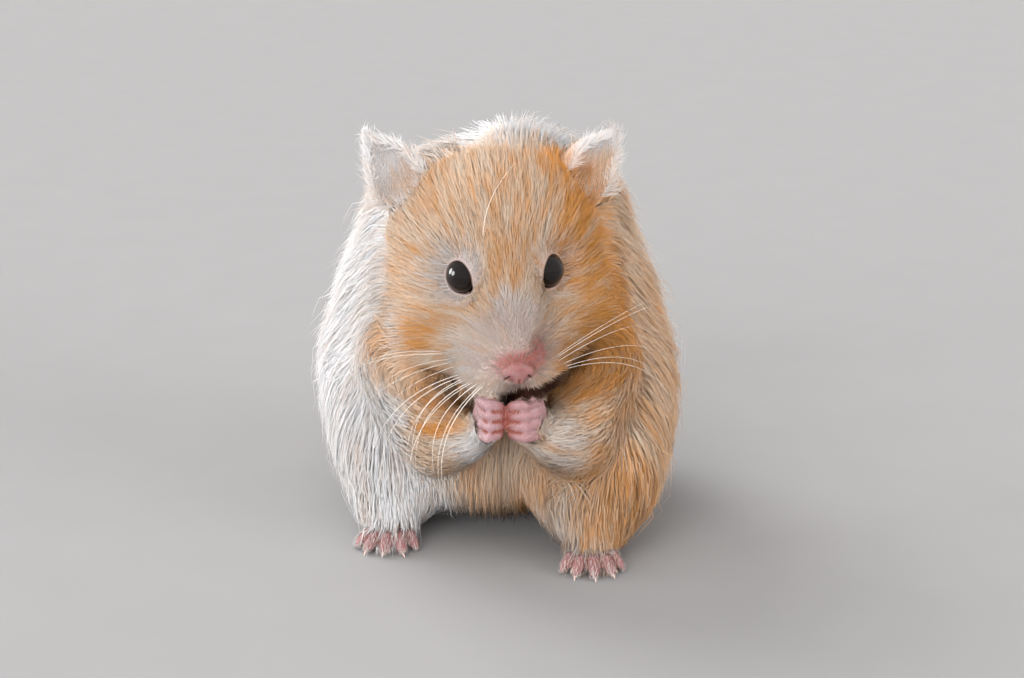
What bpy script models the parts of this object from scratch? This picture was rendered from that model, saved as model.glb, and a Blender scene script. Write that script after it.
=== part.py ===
"""A Syrian hamster that sits up on its hind feet with its forepaws together at its mouth.

A still, life-size figure: every solid reaches out to the tips of the coat. The hamster faces -Y, +Z is up,
and the origin lies on the floor, under the middle of its bounding box. "Left" and "right" are the hamster's
own, so its left side is at +X. Each named part is a smooth union of rounded masses, and a part that nestles
into another one takes a slightly larger copy of itself out of it, which leaves a fine gap between the two.
"""

import math
from collections import namedtuple

import bmesh
import bpy
from mathutils import Euler, Matrix, Vector

MM = 0.001
Mass = namedtuple("Mass", "centre radii")    # one ellipsoid; radii is a number or three

# ---- driving dimensions, in millimetres and degrees -------------------------------------------------------
GAP = 0.3                     # clearance between neighbouring solids
VOXEL = 0.9                   # grid of the smooth unions of trunk, neck and hind legs
HEAD_VOXEL = 0.72             # the same, for the head and forelegs
FINE_VOXEL = 0.3              # the same, for paws, ears, nose and tail

HEAD_CENTRE = Vector((-0.5, -14.0, 57.5))
HEAD_YAW = 8.0                # the face turns towards the hamster's left
HEAD_ROLL = -2.0              # the left eye is a little higher

EYE_RADIUS = 3.4
EYE_PLACE = Vector((7.8, -12.6, -1.4))       # left eye's centre, from the head's centre
EAR_ROOT = Vector((16.0, 4.5, 8.0))          # ear's root, from the head's centre
EAR_HEIGHT = 16.5
EAR_WIDTH = 12.0
EAR_DEPTH = 7.0
EAR_WALL = 0.9
EAR_TILT = 6.0                # backwards
LEFT_EAR = {"lean": 14.0, "turn": 20.0, "drop": 2.0}
RIGHT_EAR = {"lean": 9.0, "turn": 12.0, "drop": 0.0}

FISTS_MEET = Vector((1.4, -38.0, 31.8))
FIST_HALF_WIDTH = 5.6         # from where the fists meet to the knuckles
FINGER_PITCH = 2.1
FINGER_RADIUS = 1.2
FINGER_REACH = (0.0, 0.5, 0.4, -0.4)         # how far each finger reaches past the first, from the top

LEFT_TOES = Vector((17.8, -35.0, 0.0))       # tip of the middle toe
RIGHT_TOES = Vector((-21.5, -23.5, 0.0))
LEFT_FOOT_HEADING = 4.0
RIGHT_FOOT_HEADING = -8.0
FOOT_LENGTH = 17.0
SOLE_HEIGHT = 2.2             # the middle of the foot, above the floor
TOE_RADIUS = 1.25
TOE_LENGTHS = (4.6, 6.2, 6.6, 6.2, 4.2)
TOE_SPREAD = 18.0             # between neighbouring toes
CLAW_LENGTH = 1.6

# ---- how many triangles each part's smooth surface keeps --------------------------------------------------
FACETS = {"trunk": 640, "neck": 260, "tail": 90, "head": 640, "nose": 110, "ear": 150, "foreleg": 250,
          "forepaw": 440, "hind_leg": 260, "hind_foot": 470}
EYE_SEGMENTS = 12
EYE_RINGS = 8

FINISHES = {                  # colour and roughness
    "coat_gold": ((0.78, 0.50, 0.26), 0.85),
    "coat_white": ((0.86, 0.80, 0.73), 0.85),
    "pink_skin": ((0.80, 0.47, 0.44), 0.55),
    "eye_black": ((0.01, 0.008, 0.008), 0.08),
}

whole_meshes = {}             # each part's mesh before its neighbours are taken out of it


# ---- materials --------------------------------------------------------------------------------------------
def material(name):
    """The named finish, as one Principled BSDF."""
    made = bpy.data.materials.get(name)
    if made is None:
        colour, roughness = FINISHES[name]
        made = bpy.data.materials.new(name)
        made.use_nodes = True
        shader = made.node_tree.nodes["Principled BSDF"]
        shader.inputs["Base Color"].default_value = (*colour, 1.0)
        shader.inputs["Roughness"].default_value = roughness
        shader.inputs["Metallic"].default_value = 0.0
        made.diffuse_color = (*colour, 1.0)
    return made


# ---- rounded masses ---------------------------------------------------------------------------------------
def ball(bm, mass, detail=4):
    """Adds one mass as an icosphere."""
    radii = mass.radii if hasattr(mass.radii, "__len__") else (mass.radii,) * 3
    place = Matrix.Translation(Vector(mass.centre)) @ Matrix.Diagonal((*radii, 1.0))
    bmesh.ops.create_icosphere(bm, subdivisions=detail, radius=1.0, matrix=place)


def hull(bm, *masses, detail=3):
    """Adds the convex skin stretched over several masses."""
    skin = bmesh.new()
    for mass in masses:
        ball(skin, mass, detail)
    found = bmesh.ops.convex_hull(skin, input=skin.verts[:], use_existing_faces=False)
    spare = {v for v in found["geom_interior"] + found["geom_unused"] if isinstance(v, bmesh.types.BMVert)}
    bmesh.ops.delete(skin, geom=list(spare), context="VERTS")
    joined = bpy.data.meshes.new("hull")
    skin.to_mesh(joined)
    skin.free()
    bm.from_mesh(joined)
    bpy.data.meshes.remove(joined)


def new_object(name, bm, finish):
    """An object in the scene with this shape and finish."""
    mesh = bpy.data.meshes.new(name)
    bm.to_mesh(mesh)
    bm.free()
    mesh.materials.append(material(finish))
    obj = bpy.data.objects.new(name, mesh)
    bpy.context.scene.collection.objects.link(obj)
    return obj


def smooth_union(name, bm, voxel, rounds, facets, finish, place=None):
    """One smooth closed solid of about that many triangles, from overlapping masses in millimetres."""
    if place is not None:
        bm.transform(place)
    bm.transform(Matrix.Scale(MM, 4))
    obj = new_object(name, bm, finish)
    remesh = obj.modifiers.new("union", "REMESH")
    remesh.mode = "VOXEL"
    remesh.voxel_size = voxel * MM
    relax = obj.modifiers.new("relax", "SMOOTH")
    relax.factor = 0.5
    relax.iterations = rounds
    apply_modifiers(obj)
    thin = obj.modifiers.new("thin", "DECIMATE")
    thin.ratio = facets / (2 * len(obj.data.polygons))
    apply_modifiers(obj)
    whole_meshes[name] = obj.data.copy()
    return obj


def apply_modifiers(obj):
    """Turns the object's evaluated shape into its mesh."""
    graph = bpy.context.evaluated_depsgraph_get()
    baked = bpy.data.meshes.new_from_object(obj.evaluated_get(graph))
    obj.modifiers.clear()
    old = obj.data
    obj.data = baked
    baked.name = obj.name
    if old.users == 0:
        bpy.data.meshes.remove(old)


def subtract(obj, cutter):
    """Takes the cutter out of the object, and removes the cutter."""
    cut = obj.modifiers.new("cut", "BOOLEAN")
    cut.operation = "DIFFERENCE"
    cut.solver = "EXACT"
    cut.object = cutter
    apply_modifiers(obj)
    bpy.data.objects.remove(cutter)


def carve(obj, *others):
    """Takes a copy of each other part, larger by the gap, out of this one."""
    for other in others:
        cutter = bpy.data.objects.new("cutter", whole_meshes[other.name].copy())
        bpy.context.scene.collection.objects.link(cutter)
        grow = cutter.modifiers.new("grow", "DISPLACE")
        grow.strength = GAP * MM
        grow.mid_level = 0.0
        subtract(obj, cutter)


def drop_crumbs(obj):
    """Keeps the largest closed piece of the part, and removes the crumbs that a carve can leave."""
    bm = bmesh.new()
    bm.from_mesh(obj.data)
    left, pieces = set(bm.verts), []
    while left:
        piece, edge = set(), {left.pop()}
        while edge:
            piece |= edge
            edge = {e.other_vert(v) for v in edge for e in v.link_edges} - piece
        left -= piece
        pieces.append(piece)
    pieces.sort(key=len)
    for crumb in pieces[:-1]:
        bmesh.ops.delete(bm, geom=list(crumb), context="VERTS")
    bm.to_mesh(obj.data)
    bm.free()


def stand_flat(obj):
    """Cuts off what would reach below the floor, and leaves a flat there."""
    bm = bmesh.new()
    bm.from_mesh(obj.data)
    cut = bmesh.ops.bisect_plane(bm, geom=bm.verts[:] + bm.edges[:] + bm.faces[:], plane_co=(0, 0, 0),
                                 plane_no=(0, 0, 1), clear_inner=True)
    rim = [e for e in cut["geom_cut"] if isinstance(e, bmesh.types.BMEdge)]
    bmesh.ops.triangle_fill(bm, edges=rim, use_beauty=True)
    bmesh.ops.recalc_face_normals(bm, faces=bm.faces[:])
    bm.to_mesh(obj.data)
    bm.free()


def centre_over_origin(parts):
    """Moves the whole figure so that the middle of its bounding box lies over the origin."""
    corners = [v.co for part in parts for v in part.data.vertices]
    middle = [(min(c[i] for c in corners) + max(c[i] for c in corners)) / 2 for i in range(2)]
    for part in parts:
        part.data.transform(Matrix.Translation((-middle[0], -middle[1], 0.0)))


# ---- the trunk, neck and tail -----------------------------------------------------------------------------
def make_trunk():
    """Rump, loins and back as one egg, with the chest and belly in front of it."""
    rump = Mass((-0.8, 12.5, 29.0), (37.0, 32.0, 29.6))
    loins = Mass((-0.7, 12.0, 38.0), (35.5, 30.5, 30.0))
    back = Mass((-0.5, 9.5, 51.5), (29.0, 26.5, 27.0))
    chest = Mass((0.0, -9.0, 37.0), (27.0, 19.0, 22.0))
    belly = Mass((0.0, -6.0, 17.5), (27.0, 17.5, 15.5))
    bm = bmesh.new()
    hull(bm, rump, loins, back, detail=4)
    ball(bm, chest)
    ball(bm, belly)
    return smooth_union("trunk", bm, VOXEL, 14, FACETS["trunk"], "coat_gold")


def make_neck():
    """The short ruff between the back of the head and the shoulders."""
    nape = Mass((0.5, -0.5, 63.0), (24.0, 14.5, 16.0))
    throat = Mass((0.0, -9.0, 47.0), (25.5, 14.0, 15.0))
    bm = bmesh.new()
    hull(bm, nape, throat)
    return smooth_union("neck", bm, VOXEL, 10, FACETS["neck"], "coat_white")


def make_tail():
    """A short tapered stub that leans to the left."""
    root = Mass((0.3, 30.0, 7.5), 3.4)
    middle = Mass((0.8, 36.0, 5.2), 2.5)
    tip = Mass((1.4, 41.5, 3.4), 1.3)
    bm = bmesh.new()
    hull(bm, root, middle, tip)
    return smooth_union("tail", bm, FINE_VOXEL, 4, FACETS["tail"], "pink_skin")


# ---- the head ---------------------------------------------------------------------------------------------
def head_frame():
    """From the head's own axes, with its face along -Y, to the figure's."""
    turn = Euler((0.0, math.radians(HEAD_ROLL), math.radians(HEAD_YAW)), "XYZ").to_matrix().to_4x4()
    return Matrix.Translation(HEAD_CENTRE) @ turn


def make_head():
    """A broad skull, full cheek pouches, and a blunt muzzle with its chin tucked under it."""
    cranium = Mass((0.0, 2.0, 1.5), (20.5, 17.5, 17.5))
    brow = Mass((0.0, -9.0, 1.0), (8.5, 8.5, 9.0))
    snout = Mass((0.0, -18.0, -12.0), (7.5, 7.0, 7.5))
    nose_bridge = Mass((0.0, -23.0, -16.0), (4.6, 4.2, 4.2))
    chin = Mass((0.0, -14.5, -21.0), (8.5, 8.5, 4.8))
    bm = bmesh.new()
    ball(bm, cranium)
    hull(bm, brow, snout)
    hull(bm, snout, nose_bridge)
    ball(bm, chin)
    for side in (-1, 1):
        cheek_pouch = Mass((side * 12.5, -3.5, -13.0), (11.0, 12.5, 12.0))
        temple = Mass((side * 9.0, 3.0, 1.5), 11.0)
        face_side = Mass((side * 6.0, -15.0, -14.5), (6.5, 6.0, 6.5))
        whisker_pad = Mass((side * 4.9, -19.8, -17.8), (5.8, 6.0, 4.9))
        hull(bm, cheek_pouch, temple)
        hull(bm, cheek_pouch, face_side)
        ball(bm, whisker_pad)
    return smooth_union("head", bm, HEAD_VOXEL, 8, FACETS["head"], "coat_gold", head_frame())


def make_nose():
    """The bare nose pad, with a wing on each side."""
    pad_top = Mass((0.0, -26.6, -15.4), (1.7, 1.3, 1.2))
    pad_foot = Mass((0.0, -26.3, -18.0), (1.1, 1.0, 1.0))
    bm = bmesh.new()
    hull(bm, pad_top, pad_foot)
    for side in (-1, 1):
        nostril_wing = Mass((side * 1.6, -26.4, -16.2), (1.5, 1.2, 1.3))
        ball(bm, nostril_wing)
    return smooth_union("nose", bm, FINE_VOXEL, 3, FACETS["nose"], "pink_skin", head_frame())


def make_eye(name, side):
    """A round eyeball, set into the side of the brow."""
    centre = head_frame() @ Vector((side * EYE_PLACE.x, EYE_PLACE.y, EYE_PLACE.z))
    bm = bmesh.new()
    bmesh.ops.create_uvsphere(bm, u_segments=EYE_SEGMENTS, v_segments=EYE_RINGS, radius=EYE_RADIUS)
    bm.transform(Matrix.Scale(MM, 4) @ Matrix.Translation(centre))
    obj = new_object(name, bm, "eye_black")
    obj.data.shade_smooth()
    whole_meshes[name] = obj.data.copy()
    return obj


def ear_leaf(name, side, inset, forward):
    """The ear's outline as a thick leaf with its tip swept outwards."""
    wide, deep, tall = EAR_WIDTH / 2 - inset, EAR_DEPTH / 2 - inset * 0.3, EAR_HEIGHT
    base = Mass((0.0, forward, tall * 0.30), (wide, deep, tall * 0.30))
    blade = Mass((side * wide * 0.22, forward, tall * 0.62), (wide * 0.78, deep * 0.8, tall * 0.24))
    tip = Mass((side * wide * 0.55, forward, tall * 0.94 - inset), (wide * 0.24, deep * 0.35, tall * 0.06))
    bm = bmesh.new()
    hull(bm, base, blade, tip)
    return smooth_union(name, bm, FINE_VOXEL, 2, FACETS["ear"], "coat_gold")


def make_ear(name, side, lean, turn, drop):
    """A cupped leaf: a smaller leaf is taken out of the front of a larger one."""
    shell = ear_leaf(name, side, 0.0, 0.0)
    bowl = ear_leaf("bowl", side, EAR_WALL, -EAR_WALL * 2.2)
    subtract(shell, bowl)
    stance = Euler((math.radians(EAR_TILT), math.radians(side * lean), math.radians(side * turn)), "XYZ")
    root = Vector((side * EAR_ROOT.x, EAR_ROOT.y, EAR_ROOT.z - drop)) * MM
    frame = head_frame()
    frame.translation *= MM
    place = frame @ Matrix.Translation(root) @ stance.to_matrix().to_4x4()
    shell.data.transform(place)
    whole_meshes[name].transform(place)
    return shell


# ---- forelegs and forepaws --------------------------------------------------------------------------------
def make_foreleg(name, side):
    """The upper arm down to the elbow, and the forearm back up to the wrist."""
    shoulder = Mass((side * 17.5, -16.5, 35.0), 10.0)
    elbow = Mass((FISTS_MEET.x + side * 13.5, -27.0, 23.5), 7.2)
    wrist = Mass((FISTS_MEET.x + side * 6.5, -34.0, 27.0), 4.2)
    bm = bmesh.new()
    hull(bm, shoulder, elbow)
    hull(bm, elbow, wrist)
    return smooth_union(name, bm, HEAD_VOXEL, 6, FACETS["foreleg"], "coat_gold")


def make_forepaw(name, side):
    """A loose fist: four fingers one above another, curled in from the knuckles towards the other paw."""
    palm = FISTS_MEET + Vector((side * 4.6, 1.6, -0.4))
    palm_top = Mass(palm + Vector((0.0, 0.0, 2.2)), (2.6, 2.3, 2.4))
    palm_foot = Mass(palm + Vector((0.0, 0.0, -2.4)), (2.6, 2.3, 2.4))
    wrist = Mass(palm + Vector((side * 1.2, 2.4, -3.4)), 2.6)
    bm = bmesh.new()
    hull(bm, palm_top, palm_foot, wrist)
    middle_finger = (len(FINGER_REACH) - 1) / 2
    for i, reach in enumerate(FINGER_REACH):
        level = (middle_finger - i) * FINGER_PITCH
        knuckle = Mass(FISTS_MEET + Vector((side * FIST_HALF_WIDTH, -0.4, level)), FINGER_RADIUS)
        bend = Mass(FISTS_MEET + Vector((side * 3.4, -2.0, level * 0.98)), FINGER_RADIUS)
        fingertip = Vector((side * (1.15 - 0.3 * reach), -0.9, level * 0.85 - 0.2))
        hull(bm, knuckle, bend, detail=2)
        hull(bm, bend, Mass(FISTS_MEET + fingertip, FINGER_RADIUS * 0.85), detail=2)
    return smooth_union(name, bm, FINE_VOXEL, 1, FACETS["forepaw"], "pink_skin")


# ---- hind legs and feet -----------------------------------------------------------------------------------
def make_hind_leg(name, side, toes):
    """The haunch and thigh, rounded forwards over the knee, and the shank down to the ankle."""
    knee = Vector((side * 18.0, toes.y + 14.0, 14.5))
    heel = toes + Vector((0.0, FOOT_LENGTH, 0.0))
    bm = bmesh.new()
    hull(bm, Mass((side * 20.0, 3.0, 23.0), (16.0, 17.0, 18.0)), Mass(knee, (14.0, 11.0, 12.0)))
    shank = Mass(knee + Vector((0.0, 1.0, -3.5)), (11.0, 8.5, 7.5))
    ankle = Mass(heel + Vector((0.0, -6.5, 4.9)), (8.0, 7.0, 4.3))
    hull(bm, shank, ankle)
    return smooth_union(name, bm, VOXEL, 8, FACETS["hind_leg"], "coat_gold")


def make_hind_foot(name, toes, heading):
    """A flat sole from heel to toes, with toes fanned out from it and a small claw on each."""
    heel = Mass((0.0, FOOT_LENGTH, SOLE_HEIGHT), (3.2, 3.0, 2.6))
    instep = Mass((0.0, 6.5, SOLE_HEIGHT + 0.6), (4.4, 3.4, 2.7))
    bm = bmesh.new()
    hull(bm, heel, instep)
    middle_toe = (len(TOE_LENGTHS) - 1) / 2
    for i, length in enumerate(TOE_LENGTHS):
        fan = math.radians((i - middle_toe) * TOE_SPREAD)
        along = Vector((math.sin(fan), -math.cos(fan), 0.0))
        root = Vector((along.x * 4.6, 6.2 + along.y * 2.4, 1.9))
        joint = root + along * length * 0.55 + Vector((0.0, 0.0, 0.35))
        tip = root + along * length * 0.95 + Vector((0.0, 0.0, -0.75))
        claw_tip = tip + along * CLAW_LENGTH + Vector((0.0, 0.0, -0.5))
        hull(bm, Mass(root, TOE_RADIUS * 1.15), Mass(joint, TOE_RADIUS), detail=2)
        hull(bm, Mass(joint, TOE_RADIUS), Mass(tip, TOE_RADIUS * 0.9), detail=2)
        hull(bm, Mass(tip, 0.6), Mass(claw_tip, 0.35), detail=2)
    place = Matrix.Translation(toes) @ Matrix.Rotation(math.radians(heading), 4, "Z")
    return smooth_union(name, bm, FINE_VOXEL, 1, FACETS["hind_foot"], "pink_skin", place)


# ---- assembly ---------------------------------------------------------------------------------------------
def clear_scene():
    for obj in list(bpy.data.objects):
        bpy.data.objects.remove(obj)


def main():
    clear_scene()
    trunk = make_trunk()
    neck = make_neck()
    tail = make_tail()
    head = make_head()
    nose = make_nose()
    eyes = [make_eye("eye_left", 1), make_eye("eye_right", -1)]
    ears = [make_ear("ear_left", 1, **LEFT_EAR), make_ear("ear_right", -1, **RIGHT_EAR)]
    forelegs = [make_foreleg("foreleg_left", 1), make_foreleg("foreleg_right", -1)]
    forepaws = [make_forepaw("forepaw_left", 1), make_forepaw("forepaw_right", -1)]
    feet = [make_hind_foot("hind_foot_left", LEFT_TOES, LEFT_FOOT_HEADING),
            make_hind_foot("hind_foot_right", RIGHT_TOES, RIGHT_FOOT_HEADING)]
    legs = [make_hind_leg("hind_leg_left", 1, LEFT_TOES), make_hind_leg("hind_leg_right", -1, RIGHT_TOES)]

    carve(forepaws[1], forepaws[0])
    carve(head, nose, *eyes, *ears, *forepaws)
    for foreleg in forelegs:
        carve(foreleg, head, *forepaws)
    carve(forelegs[1], forelegs[0])
    for leg, foot in zip(legs, feet):
        carve(leg, foot)
    carve(legs[0], *forelegs)
    carve(legs[1], *forelegs, legs[0])
    carve(neck, head, *ears, *forelegs, *legs)
    carve(trunk, neck, head, *forelegs, *forepaws, *legs, *feet, tail, *ears)

    for obj in [trunk, *legs, *feet, tail]:
        stand_flat(obj)
    parts = [trunk, neck, tail, head, nose, *eyes, *ears, *forelegs, *forepaws, *feet, *legs]
    for obj in parts:
        drop_crumbs(obj)
    centre_over_origin(parts)


main()
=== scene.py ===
"""The finish of a Syrian hamster that sits up with its forepaws together at its mouth.

One skin replaces every solid of flesh. It lies inside them by the depth of the coat, and tufts of hair fill
that depth again, so the coat's tips lie where the solids' surface is. Lengths are in metres unless a comment
says otherwise. "Left" and "right" are the hamster's own: its left side is at +X, and it faces -Y.
"""

import logging
import math
from collections.abc import Callable, Sequence
from dataclasses import dataclass, field
from enum import Enum

import bmesh
import bpy
import numpy as np
from bpy.types import Material, Mesh, NodeSocket as Socket, Object
from mathutils import Matrix, Vector
from mathutils.bvhtree import BVHTree
from mathutils.kdtree import KDTree


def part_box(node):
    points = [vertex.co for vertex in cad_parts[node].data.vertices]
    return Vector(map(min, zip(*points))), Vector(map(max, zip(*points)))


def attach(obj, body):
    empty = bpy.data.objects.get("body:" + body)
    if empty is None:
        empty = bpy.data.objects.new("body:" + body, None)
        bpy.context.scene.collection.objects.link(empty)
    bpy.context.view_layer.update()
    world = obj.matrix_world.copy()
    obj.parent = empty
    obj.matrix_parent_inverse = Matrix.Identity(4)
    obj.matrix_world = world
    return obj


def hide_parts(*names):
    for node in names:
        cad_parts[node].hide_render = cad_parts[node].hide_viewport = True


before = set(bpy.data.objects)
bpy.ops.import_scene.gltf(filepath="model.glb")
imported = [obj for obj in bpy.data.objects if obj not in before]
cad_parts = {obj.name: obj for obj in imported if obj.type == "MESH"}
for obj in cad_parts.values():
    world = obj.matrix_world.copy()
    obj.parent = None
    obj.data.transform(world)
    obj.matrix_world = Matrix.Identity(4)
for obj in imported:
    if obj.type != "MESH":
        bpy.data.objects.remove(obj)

MM = 0.001
BAKE_MAP = "OFBake"
COAT_LAYER = "coat"
BARE_LAYER = "bare"
# an attribute of blush, painted shade, and the painted glow of light through the thin ears
BLUSH_SHADE_GLOW_LAYER = "blush"
UP = Vector((0.0, 0.0, 1.0))

log = logging.getLogger("hamster")
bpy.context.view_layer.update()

Array = np.ndarray
Chance = np.random.Generator
Point = tuple[float, float, float]
Colour = tuple[float, float, float]


class Slot(Enum):
    """The record's material slots."""

    GOLD = "coat_gold"
    WHITE = "coat_white"
    SKIN = "bare_skin"
    EYE = "eye"


class Part(Enum):
    """What a place on the skin belongs to."""

    TRUNK = 0
    NECK = 1
    HEAD = 2
    FORELEG = 3
    HIND_LEG = 4
    NOSE = 5
    EYE = 6
    EAR = 7
    FOREPAW = 8
    HIND_FOOT = 9
    TAIL = 10


PAIRED = (Part.FORELEG, Part.HIND_LEG, Part.EYE, Part.EAR, Part.FOREPAW, Part.HIND_FOOT)
PART_OF_NODE = {
    part.name.lower() + end: part
    for part in Part for end in (("_left", "_right") if part in PAIRED else ("",))
}
BARE_PARTS = (Part.NOSE, Part.EAR, Part.FOREPAW, Part.HIND_FOOT, Part.TAIL)
FLESH_NODES = [name for name, part in PART_OF_NODE.items() if part is not Part.EYE]
BARE_NODES = [name for name, part in PART_OF_NODE.items() if part in BARE_PARTS]
EYE_NODES = ["eye_left", "eye_right"]
EYE_SIZE = 0.97  # of its solid's


# ---- small helpers ----
def smoothstep(low: float, high: float, value: Array) -> Array:
    """A soft step from 0 at low to 1 at high; low may be above high."""
    t = np.clip((value - low) / (high - low), 0.0, 1.0)
    return t * t * (3.0 - 2.0 * t)


def unit(vectors: Array) -> Array:
    """Each row scaled to length 1."""
    return vectors / np.maximum(np.linalg.norm(vectors, axis=-1, keepdims=True), 1e-12)


def tangent(vectors: Array, normals: Array) -> Array:
    """Each row laid flat on the surface with that normal, at length 1."""
    return unit(vectors - normals * (vectors * normals).sum(-1, keepdims=True))


def box_middle(node: str) -> Vector:
    """The middle of a solid's box."""
    low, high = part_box(node)
    return (low + high) / 2


def link(name: str, mesh: Mesh) -> Object:
    """Puts a mesh in the scene, at the origin.

    Args:
        name: the object's name.
        mesh: its mesh.

    Returns:
        The new object.
    """
    piece = bpy.data.objects.new(name, mesh)
    bpy.context.scene.collection.objects.link(piece)
    return piece


def mesh_from(name: str, bm: bmesh.types.BMesh) -> Mesh:
    """Makes a mesh of a bmesh.

    Args:
        name: the mesh's name.
        bm: its shape, which is freed.

    Returns:
        The mesh.
    """
    mesh = bpy.data.meshes.new(name)
    bm.to_mesh(mesh)
    bm.free()
    return mesh


def apply_modifiers(piece: Object) -> None:
    """Turns the evaluated shape of an object into its mesh.

    Args:
        piece: the object, which keeps no modifier.
    """
    graph = bpy.context.evaluated_depsgraph_get()
    baked = bpy.data.meshes.new_from_object(piece.evaluated_get(graph))
    piece.modifiers.clear()
    old = piece.data
    piece.data = baked
    bpy.data.meshes.remove(old)


def remesh(piece: Object, voxel: float, rounds: int) -> None:
    """Makes one closed surface of overlapping shells, and smooths it.

    Args:
        piece: the object that holds them.
        voxel: the size of the steps in metres.
        rounds: how many times to smooth.
    """
    union = piece.modifiers.new("union", "REMESH")
    union.mode = "VOXEL"
    union.voxel_size = voxel
    relax = piece.modifiers.new("relax", "SMOOTH")
    relax.factor = 0.5
    relax.iterations = rounds
    apply_modifiers(piece)


def read(items: bpy.types.bpy_prop_collection, name: str, width: int, kind: type = np.int32) -> Array:
    """Reads a property of every item of a mesh.

    Args:
        items: the mesh's vertices, edges, corners or faces.
        name: the property.
        width: how many numbers it has.
        kind: their type.

    Returns:
        One row for each item.
    """
    found = np.empty(len(items) * width, kind)
    items.foreach_get(name, found)
    return found.reshape(-1, width)


def points_of(mesh: Mesh) -> Array:
    """The places of a mesh's vertices."""
    return read(mesh.vertices, "co", 3, np.float32).astype(float)


def normals_of(mesh: Mesh) -> Array:
    """The normals of a mesh's vertices."""
    return read(mesh.vertex_normals, "vector", 3, np.float32).astype(float)


def write(items: bpy.types.bpy_prop_collection, name: str, values: Array, kind: type = np.float32) -> None:
    """Sets a property of every item of a mesh."""
    items.foreach_set(name, values.astype(kind).ravel())


def paint(mesh: Mesh, name: str, *channels: Array | float) -> None:
    """Stores up to four numbers for each vertex as a colour.

    Args:
        mesh: the mesh.
        name: the attribute's name.
        channels: each a number for every vertex, or one for them all.
    """
    colour = np.ones((len(mesh.vertices), 4), np.float32)
    for place, values in enumerate(channels):
        colour[:, place] = values
    write(mesh.attributes.new(name, "FLOAT_COLOR", "POINT").data, "color", colour)


def triangles_in(mesh: Mesh) -> int:
    """How many triangles the mesh has once its faces are split."""
    return len(mesh.loops) - 2 * len(mesh.polygons)


def declare(piece: Object, material: Material, slot: Slot, *replaced: str) -> None:
    """Gives a piece its material, and says where it belongs.

    Args:
        piece: the piece.
        material: what it is made of.
        slot: not used.
        replaced: the solids it stands for.
    """
    piece.data.materials.clear()
    piece.data.materials.append(material)
    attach(piece, "root")
    if replaced:
        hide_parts(*replaced)
    log.info("%s: %d triangles", piece.name, triangles_in(piece.data))


@dataclass
class Neighbours:
    """Who is next to whom on a mesh, for smoothing values over it."""

    edges: Array
    count: int

    @classmethod
    def of(cls, mesh: Mesh) -> "Neighbours":
        """The neighbours on a mesh."""
        return cls(read(mesh.edges, "vertices", 2), len(mesh.vertices))

    def smooth(self, values: Array, rounds: int) -> Array:
        """Averages each value with its neighbours' mean, several times.

        Args:
            values: one row or number for each vertex.
            rounds: how many times.

        Returns:
            The smoothed values, in the same form.
        """
        a, b = self.edges[:, 0], self.edges[:, 1]
        degree = np.bincount(a, minlength=self.count) + np.bincount(b, minlength=self.count)
        degree = np.maximum(degree, 1)
        table = values.reshape(self.count, -1).astype(float)
        for _ in range(rounds):
            mean = np.stack([
                np.bincount(a, column[b], self.count) + np.bincount(b, column[a], self.count)
                for column in table.T
            ], axis=1) / degree[:, None]
            table = 0.5 * table + 0.5 * mean
        return table.reshape(values.shape)


# ---- the head's own axes ----
@dataclass
class HeadAxes:
    """Side, forward and up as the turned head has them, from the places of its eyes."""

    forward_of_centre: float = 12.6  # mm, how far the eyes lie in front of the head's centre
    below_centre: float = 1.4  # mm, and below it
    side: Vector = field(init=False)
    forward: Vector = field(init=False)
    up: Vector = field(init=False)
    centre: Vector = field(init=False)

    def __post_init__(self) -> None:
        """Works the axes out."""
        left, right = box_middle("eye_left"), box_middle("eye_right")
        self.side = (left - right).normalized()
        self.forward = self.side.cross(UP).normalized()
        self.up = self.side.cross(self.forward).normalized()
        if self.up.z < 0.0:
            self.up.negate()
        middle = (left + right) / 2
        self.centre = middle - self.forward * self.forward_of_centre * MM + self.up * self.below_centre * MM

    def direction(self, side: float, forward: float, up: float) -> Vector:
        """The direction with these parts."""
        return (self.side * side + self.forward * forward + self.up * up).normalized()

    def local(self, points: Array) -> Array:
        """Points as (side, forward, up) in mm from the head's centre."""
        axes = np.array([self.side, self.forward, self.up])
        return (points - np.array(self.centre)) @ axes.T / MM


# ---- the skin ----
@dataclass(frozen=True)
class CoatDepth:
    """How deep the coat is over each part, in mm, and how it thins towards bare skin."""

    trunk: float = 3.8
    neck: float = 3.4
    muzzle: float = 0.6
    head_back: float = 2.5
    cheek: float = 0.8  # how much deeper than the rest of the head
    foreleg: float = 1.9
    hind_leg: float = 3.0
    bare_core: float = 0.75
    nose: float = 0.3
    ear: float = 0.3
    eye: float = 0.55
    tail: float = 0.5
    thins: tuple[tuple[Part, float, float], ...] = (  # beside these, over how many mm, and to how deep
        (Part.NOSE, 9.0, 0.3), (Part.EYE, 7.0, 0.55), (Part.EAR, 7.0, 1.2), (Part.FOREPAW, 9.0, 0.6),
        (Part.HIND_FOOT, 11.0, 0.8), (Part.TAIL, 11.0, 1.2),
    )


@dataclass
class Surface:
    """The coat's outer surface, and what part each place on it belongs to."""

    mesh: Mesh
    points: Array
    normals: Array
    parts: Array
    tree: BVHTree


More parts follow.
